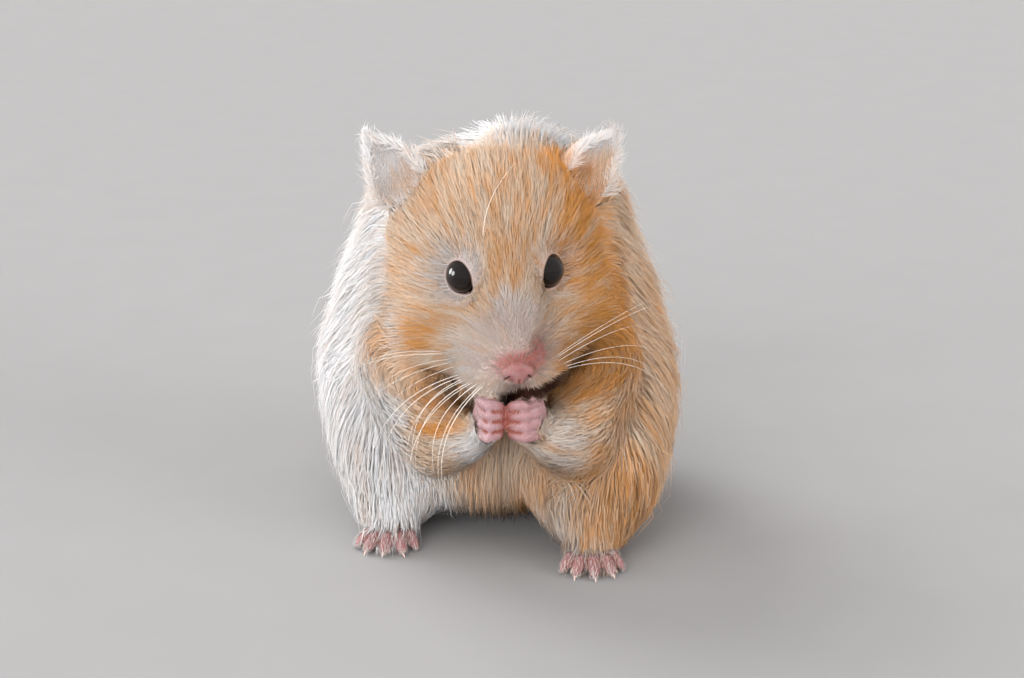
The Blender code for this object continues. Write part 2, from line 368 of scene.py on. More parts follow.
@dataclass
class Skin:
    """The one skin under the coat, with the bare nose, ears, paws, feet and tail."""

    head: HeadAxes
    depth: CoatDepth
    grow: float = 0.25 * MM  # how much larger the outer surface starts, as smoothing draws it in
    outer_voxel: float = 0.7 * MM
    outer_rounds: int = 34
    voxel: float = 0.32 * MM
    rounds: int = 3
    depth_rounds: int = 6
    refined: tuple[tuple[str, float], ...] = (  # how many mm round each the mesh is finer
        ("eye_left", 5.6), ("eye_right", 5.6), ("nose", 4.5))
    keep_of_coated: float = 0.12  # the share of triangles left where the coat hides them
    kept_margin: float = 1.5 * MM  # how far round the bare parts all of them stay
    least_room: float = 0.4 * MM
    ear_top: float = 75.5  # mm, above which the ears' tips are drawn down to leave room for hair
    ear_keep: float = 0.72  # of their height above that
    rim_bulge: tuple[float, float] = (-0.05, -0.20)  # mm, from where an ear's skin counts as its rim

    def __post_init__(self) -> None:
        """Builds the skin and its fields."""
        self.node_tree, self.node_parts = self._cad_tree()
        self.outer = self._outer_surface()
        self.piece = self._core()
        self._refine_features()
        self._sculpt()
        self._thin_out()
        self._unwrap()
        self.mesh = self.piece.data
        self.points = points_of(self.mesh)
        self.neighbours = Neighbours.of(self.mesh)
        smooth = self.neighbours.smooth
        self.normals = unit(smooth(normals_of(self.mesh), 3))
        self.parts, self.room = self._fields()
        self.hollow = ((smooth(self.points, 12) - self.points) * self.normals).sum(axis=1) / MM
        ear = (self.parts == Part.EAR.value).astype(float)
        self.ear_rim = smooth(ear * smoothstep(*self.rim_bulge, self.hollow), 1)
        # the ears, softened: where the painted glow of light through the thin ears lies
        self.ear = smooth(ear, 6)

    # -- the outer surface
    def _cad_tree(self) -> tuple[BVHTree, list[Part]]:
        """Gathers the faces of all the solids.

        Returns:
            A tree over them, and the part that each belongs to.
        """
        corners: list[Vector] = []
        faces: list[tuple[int, ...]] = []
        parts: list[Part] = []
        for name, part in PART_OF_NODE.items():
            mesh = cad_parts[name].data
            first = len(corners)
            corners += [v.co.copy() for v in mesh.vertices]
            faces += [tuple(first + i for i in face.vertices) for face in mesh.polygons]
            parts += [part] * len(mesh.polygons)
        return BVHTree.FromPolygons(corners, faces), parts

    def _shells(self, names: Sequence[str], grow: float) -> bmesh.types.BMesh:
        """Copies solids into one bmesh, each as a closed shell.

        Args:
            names: the solids.
            grow: how many metres larger to make them.

        Returns:
            The shells.
        """
        bm = bmesh.new()
        for name in names:
            bm.from_mesh(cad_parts[name].data)
        bmesh.ops.remove_doubles(bm, verts=bm.verts[:], dist=0.001 * MM)
        bm.normal_update()
        for vertex in bm.verts:
            vertex.co += vertex.normal * grow
        return bm

    def _outer_surface(self) -> Surface:
        """Makes the smooth surface through the tips of the coat.

        Returns:
            The surface.
        """
        piece = link("outer", mesh_from("outer", self._shells(list(PART_OF_NODE), self.grow)))
        remesh(piece, self.outer_voxel, self.outer_rounds)
        mesh = piece.data
        points, normals = points_of(mesh), normals_of(mesh)
        parts = np.array([part.value for part in self._nearest_parts(points)])
        faces = [tuple(face.vertices) for face in mesh.polygons]
        tree = BVHTree.FromPolygons([Vector(p) for p in points], faces)
        bpy.data.objects.remove(piece)
        return Surface(mesh, points, normals, parts, tree)

    def _distance(self, points: Array, nodes: Sequence[str]) -> Array:
        """Measures how far points are from solids.

        Args:
            points: the points.
            nodes: the solids.

        Returns:
            The distance in mm of each point from the nearest solid.
        """
        bm = self._shells(nodes, 0.0)
        tree = BVHTree.FromBMesh(bm)
        bm.free()
        return np.array([tree.find_nearest(Vector(p))[3] for p in points]) / MM

    def _depth_at(self, points: Array, parts: Array) -> Array:
        """Works out how deep the coat is.

        Args:
            points: places on the outer surface.
            parts: the part of each.

        Returns:
            The depth in mm at each.
        """
        d = self.depth
        _, forward, up = self.head.local(points).T
        head = d.muzzle + (d.head_back - d.muzzle) * smoothstep(21.0, -2.0, forward)
        head += d.cheek * smoothstep(2.0, -12.0, up) * smoothstep(20.0, 6.0, forward)
        flat = {Part.TRUNK: d.trunk, Part.NECK: d.neck, Part.FORELEG: d.foreleg, Part.HIND_LEG: d.hind_leg,
                Part.NOSE: d.nose, Part.EYE: d.eye, Part.EAR: d.ear, Part.TAIL: d.tail}
        depth = np.full(len(points), d.bare_core)
        for part, value in flat.items():
            depth[parts == part.value] = value
        on_head = parts == Part.HEAD.value
        depth[on_head] = head[on_head]
        coated = parts <= Part.HIND_LEG.value
        for part, reach, least in d.thins:
            nodes = [name for name, owner in PART_OF_NODE.items() if owner is part]
            near = smoothstep(0.3, reach, self._distance(points, nodes))
            depth[coated] = np.minimum(depth, least + (depth - least) * near)[coated]
        return depth

    def _core(self) -> Object:
        """Draws the outer surface in by the coat's depth, and joins the bare parts to it at their full size.

        Returns:
            The skin's object.
        """
        outer = self.outer
        depth = Neighbours.of(outer.mesh).smooth(self._depth_at(outer.points, outer.parts), self.depth_rounds)
        depth = depth * MM + self.grow
        drawn_in = outer.points - outer.normals * depth[:, None]
        core = outer.mesh.copy()
        write(core.vertices, "co", drawn_in)
        core.update()
        bm = self._shells(BARE_NODES, 0.0)
        bm.from_mesh(core)
        bpy.data.meshes.remove(core)
        piece = link("skin", mesh_from("skin", bm))
        remesh(piece, self.voxel, self.rounds)
        self._drop_islands(piece.data)
        return piece

    @staticmethod
    def _drop_islands(mesh: Mesh) -> None:
        """Keeps the largest closed shell of a mesh.

        Args:
            mesh: the mesh.
        """
        bm = bmesh.new()
        bm.from_mesh(mesh)
        left = set(bm.verts)
        shells: list[set] = []
        while left:
            shell, rim = set(), {left.pop()}
            while rim:
                shell |= rim
                rim = {e.other_vert(v) for v in rim for e in v.link_edges} - shell
            left -= shell
            shells.append(shell)
        shells.sort(key=len)
        for shell in shells[:-1]:
            bmesh.ops.delete(bm, geom=list(shell), context="VERTS")
        bm.to_mesh(mesh)
        bm.free()

    # -- features
    def _refine_features(self) -> None:
        """Halves the mesh's edges round the eyes, nose and mouth."""
        bm = bmesh.new()
        bm.from_mesh(self.piece.data)
        spots = [(box_middle(name), radius * MM) for name, radius in self.refined]
        edges = [e for e in bm.edges
                 if any((e.verts[0].co - centre).length < radius for centre, radius in spots)]
        bmesh.ops.subdivide_edges(bm, edges=edges, cuts=1, use_grid_fill=True)
        bmesh.ops.triangulate(bm, faces=[f for f in bm.faces if len(f.verts) > 4])
        bm.to_mesh(self.piece.data)
        bm.free()

    def _sculpt(self) -> None:
        """Opens the eye sockets with their lids, and models the nose and mouth."""
        mesh = self.piece.data
        points, normals = points_of(mesh), normals_of(mesh)
        for name, side in zip(EYE_NODES, (1, -1)):
            points = Eye.of(name, side, self.head).open_socket(points)
        off_paws = np.array([part is not Part.FOREPAW for part in self._nearest_parts(points)], float)
        points = Nose(self.head).sculpt(points, normals, off_paws)
        points += self._nudged(points) * MM
        over = np.maximum(points[:, 2] - self.ear_top * MM, 0.0)
        points[:, 2] -= (1.0 - self.ear_keep) * over
        write(mesh.vertices, "co", points)
        mesh.update()

    @staticmethod
    def _nudged(points: Array) -> Array:
        """How far in mm the figure lies off its solids at each point."""
        return sum(np.outer(nudge.patch.value * nudge.patch.weight(points), nudge.way) for nudge in NUDGES)

    def _nearest_parts(self, points: Array) -> list[Part]:
        """The part of the solid nearest to each point."""
        return [self.node_parts[self.node_tree.find_nearest(Vector(p))[2]] for p in points]

    def _unnudged(self, points: Array) -> Array:
        """Finds where nudged points lay before.

        Args:
            points: the nudged points.

        Returns:
            Their former places.
        """
        found = points
        for _ in range(12):
            found = 0.5 * found + 0.5 * (points - self._nudged(found) * MM)
        return found

    def _thin_out(self) -> None:
        """Keeps fewer triangles where the coat hides the skin."""
        mesh = self.piece.data
        points = points_of(mesh)
        coated = np.ones(len(points))
        for name in BARE_NODES + EYE_NODES:
            low, high = (np.array(corner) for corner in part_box(name))
            inside = ((points > low - self.kept_margin) & (points < high + self.kept_margin)).all(1)
            coated[inside] = 0.0
        group = self.piece.vertex_groups.new(name="coated")
        group.add(np.flatnonzero(coated > 0.5).tolist(), 1.0, "REPLACE")
        share = coated.mean()
        thin = self.piece.modifiers.new("thin", "DECIMATE")
        thin.vertex_group = "coated"
        thin.ratio = self.keep_of_coated * share + (1.0 - share)
        apply_modifiers(self.piece)
        self.piece.vertex_groups.clear()

    def _unwrap(self) -> None:
        """Unwraps the skin by its own shape."""
        mesh = self.piece.data
        mesh.uv_layers.new(name=BAKE_MAP)
        bpy.context.view_layer.objects.active = self.piece
        self.piece.select_set(True)
        bpy.ops.object.mode_set(mode="EDIT")
        bpy.ops.mesh.select_all(action="SELECT")
        bpy.ops.uv.smart_project(angle_limit=math.radians(66.0), island_margin=0.002)
        bpy.ops.object.mode_set(mode="OBJECT")
        self.piece.select_set(False)
        mesh.shade_smooth()

    # -- fields
    def _fields(self) -> tuple[Array, Array]:
        """Reads the outer surface above each of the skin's vertices.

        Returns:
            The part of each, and the room in metres between it and the coat's surface.
        """
        outer = self.outer
        corner_of_face = read(outer.mesh.polygons, "loop_start", 1)[:, 0]
        vertex_of_corner = read(outer.mesh.loops, "vertex_index", 1)[:, 0]
        found = [outer.tree.find_nearest(Vector(p)) for p in self._unnudged(self.points)]
        faces = np.array([f[2] for f in found])
        parts = outer.parts[vertex_of_corner[corner_of_face[faces]]]
        room = np.array([f[3] for f in found])
        room = np.maximum(self.neighbours.smooth(room, 4), self.least_room)
        return parts, room


# ---- eyes, nose and mouth ----
@dataclass
class Eye:
    """A round bulging eye and the opening of its lids. Lengths are in mm."""

    name: str
    side: int  # 1 on the left and -1 on the right
    head: HeadAxes
    radius: float
    inset: float = 0.15  # how far the eyeball sits towards the nose from its solid's middle
    outward: float = 45.0  # degrees from straight ahead
    upward: float = 6.0  # degrees from level
    opening: float = 0.86  # of the radius
    inner_corner: float = 0.50  # how far the corner near the nose reaches out
    corner_angle: float = -50.0  # degrees, where that corner is
    corner_width: float = 0.5  # radians
    brow_press: float = 0.14  # how far the lid above that corner reaches in
    brow_angle: float = 42.0
    brow_width: float = 0.6  # radians
    lid_rise: float = 0.03  # how far the lid towards the nose stands off the eyeball
    lid_fall: float = 0.35  # how far the skin behind a lid lies below its edge
    under: float = 0.35  # how far the socket lies beneath the eyeball
    fuller: float = 0.02  # how much longer the eyeball is in front, of its radius
    blend_from: float = 3.4  # from the axis, where the socket starts to pass into the face
    blend_to: float = 5.8  # and where it ends
    behind: float = -2.5  # along the axis, what lies deeper is not the eye's

    @classmethod
    def of(cls, name: str, side: int, head: HeadAxes) -> "Eye":
        """Makes an eye of the size of its solid.

        Args:
            name: the solid.
            side: 1 on the left and -1 on the right.
            head: the head's axes.

        Returns:
            The eye.
        """
        low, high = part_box(name)
        return cls(name, side, head, EYE_SIZE * (high.z - low.z) / 2 / MM)

    @property
    def centre(self) -> Vector:
        """The eyeball's middle."""
        return box_middle(self.name) - self.head.side * (self.side * self.inset * MM)

    @property
    def axis(self) -> Vector:
        """Out of the middle of the pupil."""
        turn, lift = math.radians(self.outward), math.radians(self.upward)
        return self.head.direction(self.side * math.sin(turn), math.cos(turn), math.tan(lift))

    def _local(self, points: Array) -> tuple[Array, Array, Array]:
        """Turns places into the eye's own measures.

        Args:
            points: the places.

        Returns:
            Height along the axis and distance from it in mm, and the angle about it from the nose's side up.
        """
        axis = self.axis
        over = (self.head.up - axis * self.head.up.dot(axis)).normalized()
        ahead = axis.cross(over) * self.side
        offset = (points - np.array(self.centre)) / MM
        x, y = offset @ np.array(ahead), offset @ np.array(over)
        return offset @ np.array(axis), np.hypot(x, y), np.arctan2(y, x)

    def _opening_at(self, angle: Array) -> Array:
        """Draws the opening: a circle with a corner near the nose.

        Args:
            angle: directions from the eye's axis, from the nose's side upwards.

        Returns:
            The opening's radius in mm in each.
        """
        away = np.angle(np.exp(1j * (angle - math.radians(self.corner_angle))))
        brow = np.angle(np.exp(1j * (angle - math.radians(self.brow_angle))))
        return (self.radius * self.opening + self.inner_corner * np.exp(-((away / self.corner_width) ** 2))
                - self.brow_press * np.exp(-((brow / self.brow_width) ** 2)))

    def open_socket(self, points: Array) -> Array:
        """Draws the skin into a bowl under the eyeball and up to a lid round it.

        Args:
            points: the skin's vertices.

        Returns:
            The moved vertices.
        """
        height, across, angle = self._local(points)
        rim = self._opening_at(angle)
        ratio = across / rim
        ball = np.sqrt(np.maximum((self.radius - self.under) ** 2 - across ** 2, 0.0))
        inner = 0.5 + 0.5 * np.cos(angle)
        crest = np.sqrt(np.maximum(self.radius ** 2 - np.minimum(rim, self.radius * 0.97) ** 2, 0.0))
        crest += self.lid_rise * inner
        target = ball + (crest - ball) * smoothstep(0.95, 1.03, ratio)
        target -= self.lid_fall * (1.6 - 0.6 * inner) * smoothstep(1.06, 1.5, ratio)
        weight = 1.0 - smoothstep(self.blend_from, self.blend_to, across)
        weight[height < -2.2] = 0.0
        return points + np.outer((target - height) * weight * MM, np.array(self.axis))

    def near(self, points: Array) -> Array:
        """From 1 at the lids to 0 away from them."""
        height, across, _ = self._local(points)
        return (1.0 - smoothstep(3.2, 6.4, across)) * (height > self.behind)

    def lid_margin(self, points: Array, inner: float = 1.03, outer: float = 1.16) -> Array:
        """Marks the bare edge of the lids.

        Args:
            points: the places to mark.
            inner: where the edge ends, in openings from the eye's axis.
            outer: where the mark has faded out.

        Returns:
            From 1 on the edge to 0 away from it.
        """
        height, across, angle = self._local(points)
        ratio = across / self._opening_at(angle) + 0.09 * (0.5 - 0.5 * np.cos(angle))
        return (1.0 - smoothstep(inner, outer, ratio)) * (height > -1.0)

    def away(self, points: Array) -> Array:
        """Finds the direction out from the eye's axis.

        Args:
            points: the places.

        Returns:
            The direction at each, of length 1 at the lids and falling to 0 a few mm away.
        """
        height, across, _ = self._local(points)
        offset = points - np.array(self.centre)
        out = unit(offset - np.outer(height * MM, np.array(self.axis)))
        weight = (1.0 - smoothstep(3.6, 6.5, across)) * (height > self.behind)
        return out * weight[:, None]

    def build(self, material: Material) -> None:
        """Makes the eyeball, a little fuller in front.

        Args:
            material: what it is made of.
        """
        bm = bmesh.new()
        bmesh.ops.create_uvsphere(bm, u_segments=64, v_segments=40, radius=self.radius * MM)
        turn = UP.rotation_difference(self.axis).to_matrix().to_4x4()
        for vertex in bm.verts:
            front = max(0.0, vertex.co.z / (self.radius * MM))
            vertex.co.z *= 1.0 + self.fuller * front * front
        bm.transform(Matrix.Translation(self.centre) @ turn)
        mesh = mesh_from(f"{self.name}_ball", bm)
        mesh.shade_smooth()
        declare(link(mesh.name, mesh), material, Slot.EYE, self.name)


@dataclass
class Nose:
    """The nose's pad, nostrils and cleft, and the mouth under it. Lengths are in mm, in the head's axes."""

    head: HeadAxes
    nostril_side: float = 2.1
    nostril_drop: float = 0.9
    nostril_radius: float = 0.8
    nostril_depth: float = 0.6
    # how dark the painted shade inside the nostrils is
    nostril_dark: float = 0.6
    cleft_width: float = 0.32
    cleft_depth: float = 0.45
    cleft_length: float = 3.2
    front: float = -6.0  # forward of the pad's middle, what lies further back is not the nose's
    lip_drop: float = 6.7  # the furrow under the muzzle, which rises to the cheeks
    lip_rise: float = 0.021
    lip_depth: float = 2.6
    lip_width: float = 1.15
    lip_reach: float = 17.0
    shade_from: float = -4.6  # where the shade under the muzzle starts, at its lowest
    shade_lowest: float = -5.0  # how far to the side that is
    shade_rise: tuple[float, float] = (0.065, 0.0225)  # to the right and to the left of that
    shade_notch: float = 0.9  # how much higher it starts under the nose
    shade_slope: float = 0.25  # how much lower it lies for each mm further back
    shade_reach: float = 17.5
    shade_back: tuple[float, float] = (-26.0, -20.0)  # where it fades out towards the back

    @property
    def centre(self) -> Array:
        """The pad's middle, in the head's axes."""
        return self.head.local(np.array([box_middle("nose")]))[0]

    def _local(self, points: Array) -> Array:
        """Points as (side, forward, up) in mm from the pad's middle, one row for each of the three."""
        return (self.head.local(points) - self.centre).T

    def _off_nostril(self, way: int, side: Array, up: Array) -> Array:
        """How far a place is from the nostril on that side (1 is left), in its radii."""
        slit = (side - way * self.nostril_side) * 1.6 + way * (up + self.nostril_drop) * 0.8
        return np.hypot(slit, (up + self.nostril_drop) * 0.75) / self.nostril_radius

    def sculpt(self, points: Array, normals: Array, movable: Array) -> Array:
        """Presses the nostrils, the cleft and the line of the lips into the skin.

        Args:
            points: the skin's vertices.
            normals: their normals.
            movable: 1 at the vertices that may move and 0 at the rest.

        Returns:
            The moved vertices.
        """
        side, forward, up = self._local(points)
        press = np.zeros(len(points))
        for way in (-1, 1):
            far = self._off_nostril(way, side, up)
            press += self.nostril_depth * np.clip(1.0 - far ** 2, 0.0, 1.0) ** 2
        along = smoothstep(-0.6, -1.4, up) * smoothstep(-self.cleft_length - 1.6, -self.cleft_length, up)
        press += self.cleft_depth * np.exp(-((side / self.cleft_width) ** 2)) * along
        below = up + self.lip_drop - self.lip_rise * side ** 2
        reach = 1.0 - smoothstep(self.lip_reach * 0.7, self.lip_reach, np.abs(side))
        furrow = np.exp(-((below / self.lip_width) ** 2)) * reach * (forward > -20.0)
        press = press * (forward > self.front) + self.lip_depth * furrow
        return points - normals * (press * movable * MM)[:, None]

    def shade(self, points: Array) -> Array:
        """Marks the deep shade right under the muzzle.

        Args:
            points: the places to mark.

        Returns:
            From 1 in the shade to 0 away from it.
        """
        side, forward, up = self._local(points)
        off = side - self.shade_lowest
        start = self.shade_from + np.where(off < 0.0, *self.shade_rise) * off ** 2
        start += self.shade_notch * np.exp(-(((side - 0.5) / 2.2) ** 2))
        below = start - (up - self.shade_slope * forward)
        reach = 1.0 - smoothstep(0.75, 1.0, np.abs(side - 1.0) / self.shade_reach)
        reach *= smoothstep(*self.shade_back, forward)
        strength = 1.0 - 0.55 * smoothstep(-5.0, -9.0, side) - 0.35 * smoothstep(6.0, 12.0, side)
        return smoothstep(-0.1, 0.4, below) * (1.0 - smoothstep(1.6, 4.6, below)) * reach * strength

    def darkness(self, points: Array) -> Array:
        """Marks the painted shade inside the nostrils.

        Args:
            points: the places to mark.

        Returns:
            From the painted shade's darkness inside the nostrils to 0 outside.
        """
        side, forward, up = self._local(points)
        found = np.zeros(len(points))
        for way in (-1, 1):
            open_to = 1.0 - smoothstep(0.2, 0.9, self._off_nostril(way, side, up))
            found = np.maximum(found, self.nostril_dark * open_to)
        return found * (forward > self.front)

    def muzzle(self, points: Array) -> Array:
        """Marks the front of the muzzle.

        Args:
            points: the places to mark.

        Returns:
            From 1 there to 0 away from it.
        """
        side, forward, up = self._local(points)
        far = np.sqrt((side / 9.5) ** 2 + ((up - 3.0) / 10.0) ** 2 + ((forward + 4.0) / 12.0) ** 2)
        return 1.0 - smoothstep(0.55, 1.1, far)

    def near(self, points: Array) -> tuple[Array, Array]:
        """Marks the nose.

        Args:
            points: the places to mark.

        Returns:
            How much each is nose pad, and how much it is the thinly haired pink skin round the pad.
        """
        side, forward, up = self._local(points)
        pad = np.sqrt((side / 3.3) ** 2 + ((up + 0.1) / 2.3) ** 2 + (forward / 3.4) ** 2)
        spread = np.sqrt((side / 5.8) ** 2 + ((up - 1.3) / 3.6) ** 2 + ((forward + 1.5) / 6.0) ** 2)
        wing = np.sqrt(((side - 4.2) / 2.3) ** 2 + ((up - 3.4) / 4.0) ** 2 + ((forward + 2.0) / 5.0) ** 2)
        lip = np.sqrt((side / 3.4) ** 2 + ((up + 3.3) / 2.0) ** 2 + ((forward + 1.0) / 5.0) ** 2)
        around = np.maximum(1.0 - smoothstep(0.45, 1.2, spread), 1.0 - smoothstep(0.4, 1.25, wing))
        around = np.maximum(around, 0.55 * (1.0 - smoothstep(0.5, 1.2, lip)))
        return 1.0 - smoothstep(0.75, 1.1, pad), around


# ---- the coat's markings ----
@dataclass(frozen=True)
class Patch:
    """A soft-edged patch of the coat: an ellipsoid in mm, in the figure's own axes."""

    centre: Point
    radii: Point
    value: float

    def weight(self, points: Array) -> Array:
        """From 1 inside the patch to 0 outside it."""
        far = np.linalg.norm((points / MM - np.array(self.centre)) / np.array(self.radii), axis=1)
        return 1.0 - smoothstep(0.55, 1.25, far)


@dataclass(frozen=True)
class Nudge:
    """Moves the skin with its coat inside a patch, by the patch's value in mm."""

    patch: Patch
    way: Point


BESIDE_NAPE = Patch((-13, 7, 81), (13.5, 19, 17), 6.2)
NUDGES = (
    Nudge(BESIDE_NAPE, (0, 0, -1)),
    Nudge(Patch((-4.5, 5, 81), (6.5, 16, 12), 2.2), (0, 0, -1)),
    Nudge(Patch((-8.5, 5, 80), (6, 15, 11), 1.0), (0, 0, -1)),
    Nudge(Patch((5, 0, 80), (14, 13, 6), 0.6), (0, 0, -1)),
    Nudge(Patch((-33, 0, 50), (11, 30, 22), 2.4), (1, 0, 0)),  # right shoulder
    Nudge(Patch((33, 0, 52), (11, 30, 21), 2.2), (-1, 0, 0)),  # left shoulder
    Nudge(Patch((-5.5, -38, 31), (5.5, 7, 6), 1.5), (1, 0, 0)),  # right hand
    Nudge(Patch((7.2, -38.5, 36.3), (2.2, 5, 1.6), 0.9), (0, 0, -1)),  # left hand's top
)
HANDS_MEET = 2.05  # mm from the middle, where the forepaws touch
NOSE_FLUSH = Patch((8.3, -39.5, 43.8), (2.8, 5, 4.6), 1.0)  # the reddest of the thinly haired skin


@dataclass
class Markings:
    """Where the coat is white, how deep its gold is elsewhere, and where shade is painted on it."""

    head: HeadAxes
    eyes: list[Eye]
    nose: Nose
    white: tuple[Patch, ...] = (
        Patch((-1, -40, 42), (10, 9, 8), 0.5),  # muzzle
        Patch((-15.5, -17.5, 67), (4, 4, 6), 0.7),  # foot of the right ear
        Patch((3.8, -38, 50), (4, 6, 5), 0.6),  # bridge of the nose
        Patch((-16, -30.5, 48), (2.2, 5, 6.5), 0.55),  # crest on the right cheek
        Patch((-22.5, -18, 53), (6, 10, 16), 0.85),  # behind the right cheek
        Patch((-35, -14, 34), (14, 22, 34), 0.96),  # right shoulder and flank
        Patch((-26, -24, 22), (11, 16, 17), 0.95),  # right elbow and hip
        Patch((-18.5, -13.5, 74), (10, 7, 11), 0.95),  # right ear
        Patch((19.5, -8, 78.5), (8, 5, 4.5), 0.75),  # left ear's edge
        Patch((-3.5, -37, 23.5), (9, 9, 6.5), 0.85),  # right forearm
        Patch((14.5, -36.5, 25), (8, 8, 6), 0.48),  # left forearm
        Patch((-2.5, -33, 21.5), (5, 7, 5), 0.8),  # chest under the right hand
        Patch((-18, -20, 10), (15, 15, 13), 0.97),  # right thigh
        Patch((10, -30, 10), (8, 9, 8), 0.5),  # inside of the left thigh
        Patch((4, 0, 78), (24, 14, 9), 0.97),  # nape
        Patch((3, -11, 79), (20, 9, 5.5), 0.9),  # top of the head
    )
    gold: tuple[Patch, ...] = (
        Patch((-24, -12, 55), (5, 8, 17), 0.35),  # shoulder beside the right cheek
        Patch((-7, 1, 75), (8, 16, 10), 0.75),  # between the ears
        Patch((-12, 2, 72), (10.5, 17, 10), 0.8),  # top of the head beside the nape's tuft
        Patch((-11.5, -33.5, 46.5), (5, 5, 5.5), 0.85),  # right cheek
        Patch((-12.5, -32, 31), (7, 9, 8.5), 0.6),  # right upper arm
        Patch((-4.5, -23, 9.5), (3, 5, 6), 0.7),  # edge of the right thigh
        Patch((13.5, -36, 42), (5, 6, 6.5), 0.9),  # left side of the muzzle
        Patch((-17, -14, 68.5), (3, 4, 4), 0.5),  # inside the right ear
    )
    # deeper gold: the coat's own, and on the left side also painted shade, as the gold looks deeper where
    # less light falls
    deep: tuple[Patch, ...] = (
        Patch((-11.5, -33.5, 46.5), (4.5, 5, 4.5), 0.6),  # right cheek
        Patch((-12, -31, 33), (7, 9, 8), 0.65),  # right upper arm
        Patch((-12, -17, 72), (6, 7, 5), 0.5),  # in front of the right ear
        Patch((15, -15, 69), (9, 9, 7), 0.9),  # in front of the left ear
        Patch((18, -23, 60), (9, 10, 11), 0.9),  # behind the left eye
        Patch((21, -23, 50), (10, 12, 12), 0.95),  # left cheek
        Patch((20, -26, 41), (11, 11, 10), 1.0),  # lower left cheek
        Patch((31, -14, 42), (13, 22, 28), 0.38),  # left flank
        Patch((13.5, -36, 41.5), (4.5, 6, 6), 0.8),  # left side of the muzzle
        Patch((25, -30, 16), (9, 9, 14), 0.65),  # left thigh
        Patch((2.5, -33.5, 58.5), (4, 5, 7), 0.5),  # forehead
        Patch((17.5, -10, 70.5), (1.8, 4, 2.2), 1.0),  # inside the left ear
        Patch((0, 34, 45), (30, 18, 32), 0.55),  # back
    )
    # painted shade, darkening the coat where shade falls: in creases, under the belly and cheeks, and over
    # the face and the left side, which the light reaches less
    shaded: tuple[Patch, ...] = (
        Patch((3, -28, 50), (24, 18, 21), 0.19),  # face
        Patch((2, -24, 13), (2.2, 9, 8), 0.2),  # crease between the thighs
        Patch((3, -22, 3), (17, 14, 6), 0.8),  # under the belly
        Patch((-11.5, -33.5, 46), (5, 6, 5), 0.10),  # under the right cheek's crest
        Patch((18.5, -28.5, 40), (10, 10, 9), 0.30),  # left cheek
        Patch((12.5, -37, 41), (5, 6, 5), 0.10),  # left side of the muzzle
        Patch((-7, -38.5, 40.5), (5, 6, 5), 0.19),  # right side of the muzzle
        Patch((18, -32, 11), (14, 9, 11), 0.26),  # left thigh
        Patch((-22, -17, 49), (6, 9, 14), 0.14),  # behind the right cheek
        Patch((-21, -23, 46), (5, 7, 8), 0.10),  # outer side of the right cheek
        Patch((8.3, -39.5, 43.8), (2.8, 5, 4.6), 0.22),  # left of the nose
        Patch((17.5, -10, 70.5), (1.8, 4, 2.2), 0.25),  # inside the left ear
    )
    band_half: tuple[float, float] = (17.0, 5.5)  # mm, on the right and on the left
    band_middle: tuple[float, float] = (3.0, 14.0)
    band_white: float = 0.97
    belly_white: float = 0.8
    eye_ring: tuple[float, float] = (0.2, 0.7)  # how white the hair is round the left and the right eye
    plain_gold: float = 0.28  # how deep the gold is outside every patch
    lid_shade: float = 0.2
    nose_shade: float = 0.33

    def ripple(self, points: Array, scale: float) -> Array:
        """Makes a smooth unevenness, so that no edge runs straight.

        Args:
            points: the places.
            scale: how wide its waves are, in mm for each radian.

        Returns:
            A number between -1 and 1 at each.
        """
        x, y, z = (points / MM / scale).T
        return (np.sin(x + 1.7 * np.sin(0.9 * z)) + np.sin(1.3 * y + 1.1 * np.sin(x * 0.7 + 2.0))
                + np.sin(1.1 * z + 1.3 * np.sin(y * 0.8))) / 3.0

    def whiteness(self, points: Array) -> Array:
        """Marks the white of the coat.

        Args:
            points: the places to mark.

        Returns:
            How white the coat is at each, from 0 to 1.
        """
        x, y, z = (points / MM).T
        left = smoothstep(-12.0, 12.0, x)
        half = self.band_half[0] + (self.band_half[1] - self.band_half[0]) * left
        middle = self.band_middle[0] + (self.band_middle[1] - self.band_middle[0]) * left
        off = np.abs(y - middle) + 2.5 * self.ripple(points, 5.0)
        found = self.band_white * (1.0 - smoothstep(half - 2.5, half + 3.0, off))
        _, forward, up = self.head.local(points).T
        face = smoothstep(-3.0, 4.0, forward) * smoothstep(-22.0, -17.0, up)
        found *= 1.0 - face
        found = np.maximum(found, self.belly_white * (1.0 - smoothstep(5.0, 10.0, z + 0.15 * np.abs(x))))
        for patch in self.white:
            weight = patch.weight(points + (self.ripple(points, 2.2) * 0.8 * MM)[:, None])
            found += (patch.value - found) * weight * (patch.value > found)
        for patch in self.gold:
            found *= 1.0 - patch.value * patch.weight(points)
        for eye, ring in zip(self.eyes, self.eye_ring):
            found = np.maximum(found, ring * eye.near(points))
        return np.clip(found, 0.0, 1.0)

    def shade(self, points: Array) -> Array:
        """Marks where shade is painted on the coat: under the muzzle, beside the nose, at the lids' edges and
        in the shaded patches.

        Args:
            points: the places to mark.

        Returns:
            How dark the painted shade makes the coat at each, from 0 to 1.
        """
        _, around = self.nose.near(points)
        clear = (1.0 - self.nose.shade(points)) * (1.0 - self.nose_shade * around)
        for eye in self.eyes:
            clear *= 1.0 - self.lid_shade * eye.lid_margin(points, 1.12, 1.45)
        for patch in self.shaded:
            clear *= 1.0 - patch.value * patch.weight(points)
        return 1.0 - clear

    def warmth(self, points: Array) -> Array:
        """Marks the deeper gold, which on the left side is partly painted shade.

        Args:
            points: the places to mark.

        Returns:
            How deep the gold is at each, from 0 to 1.
        """
        found = self.plain_gold + 0.10 * self.ripple(points, 6.0)
        for patch in self.deep:
            found += (patch.value - found) * patch.weight(points) * (patch.value > found)
        return np.clip(found, 0.0, 1.0)


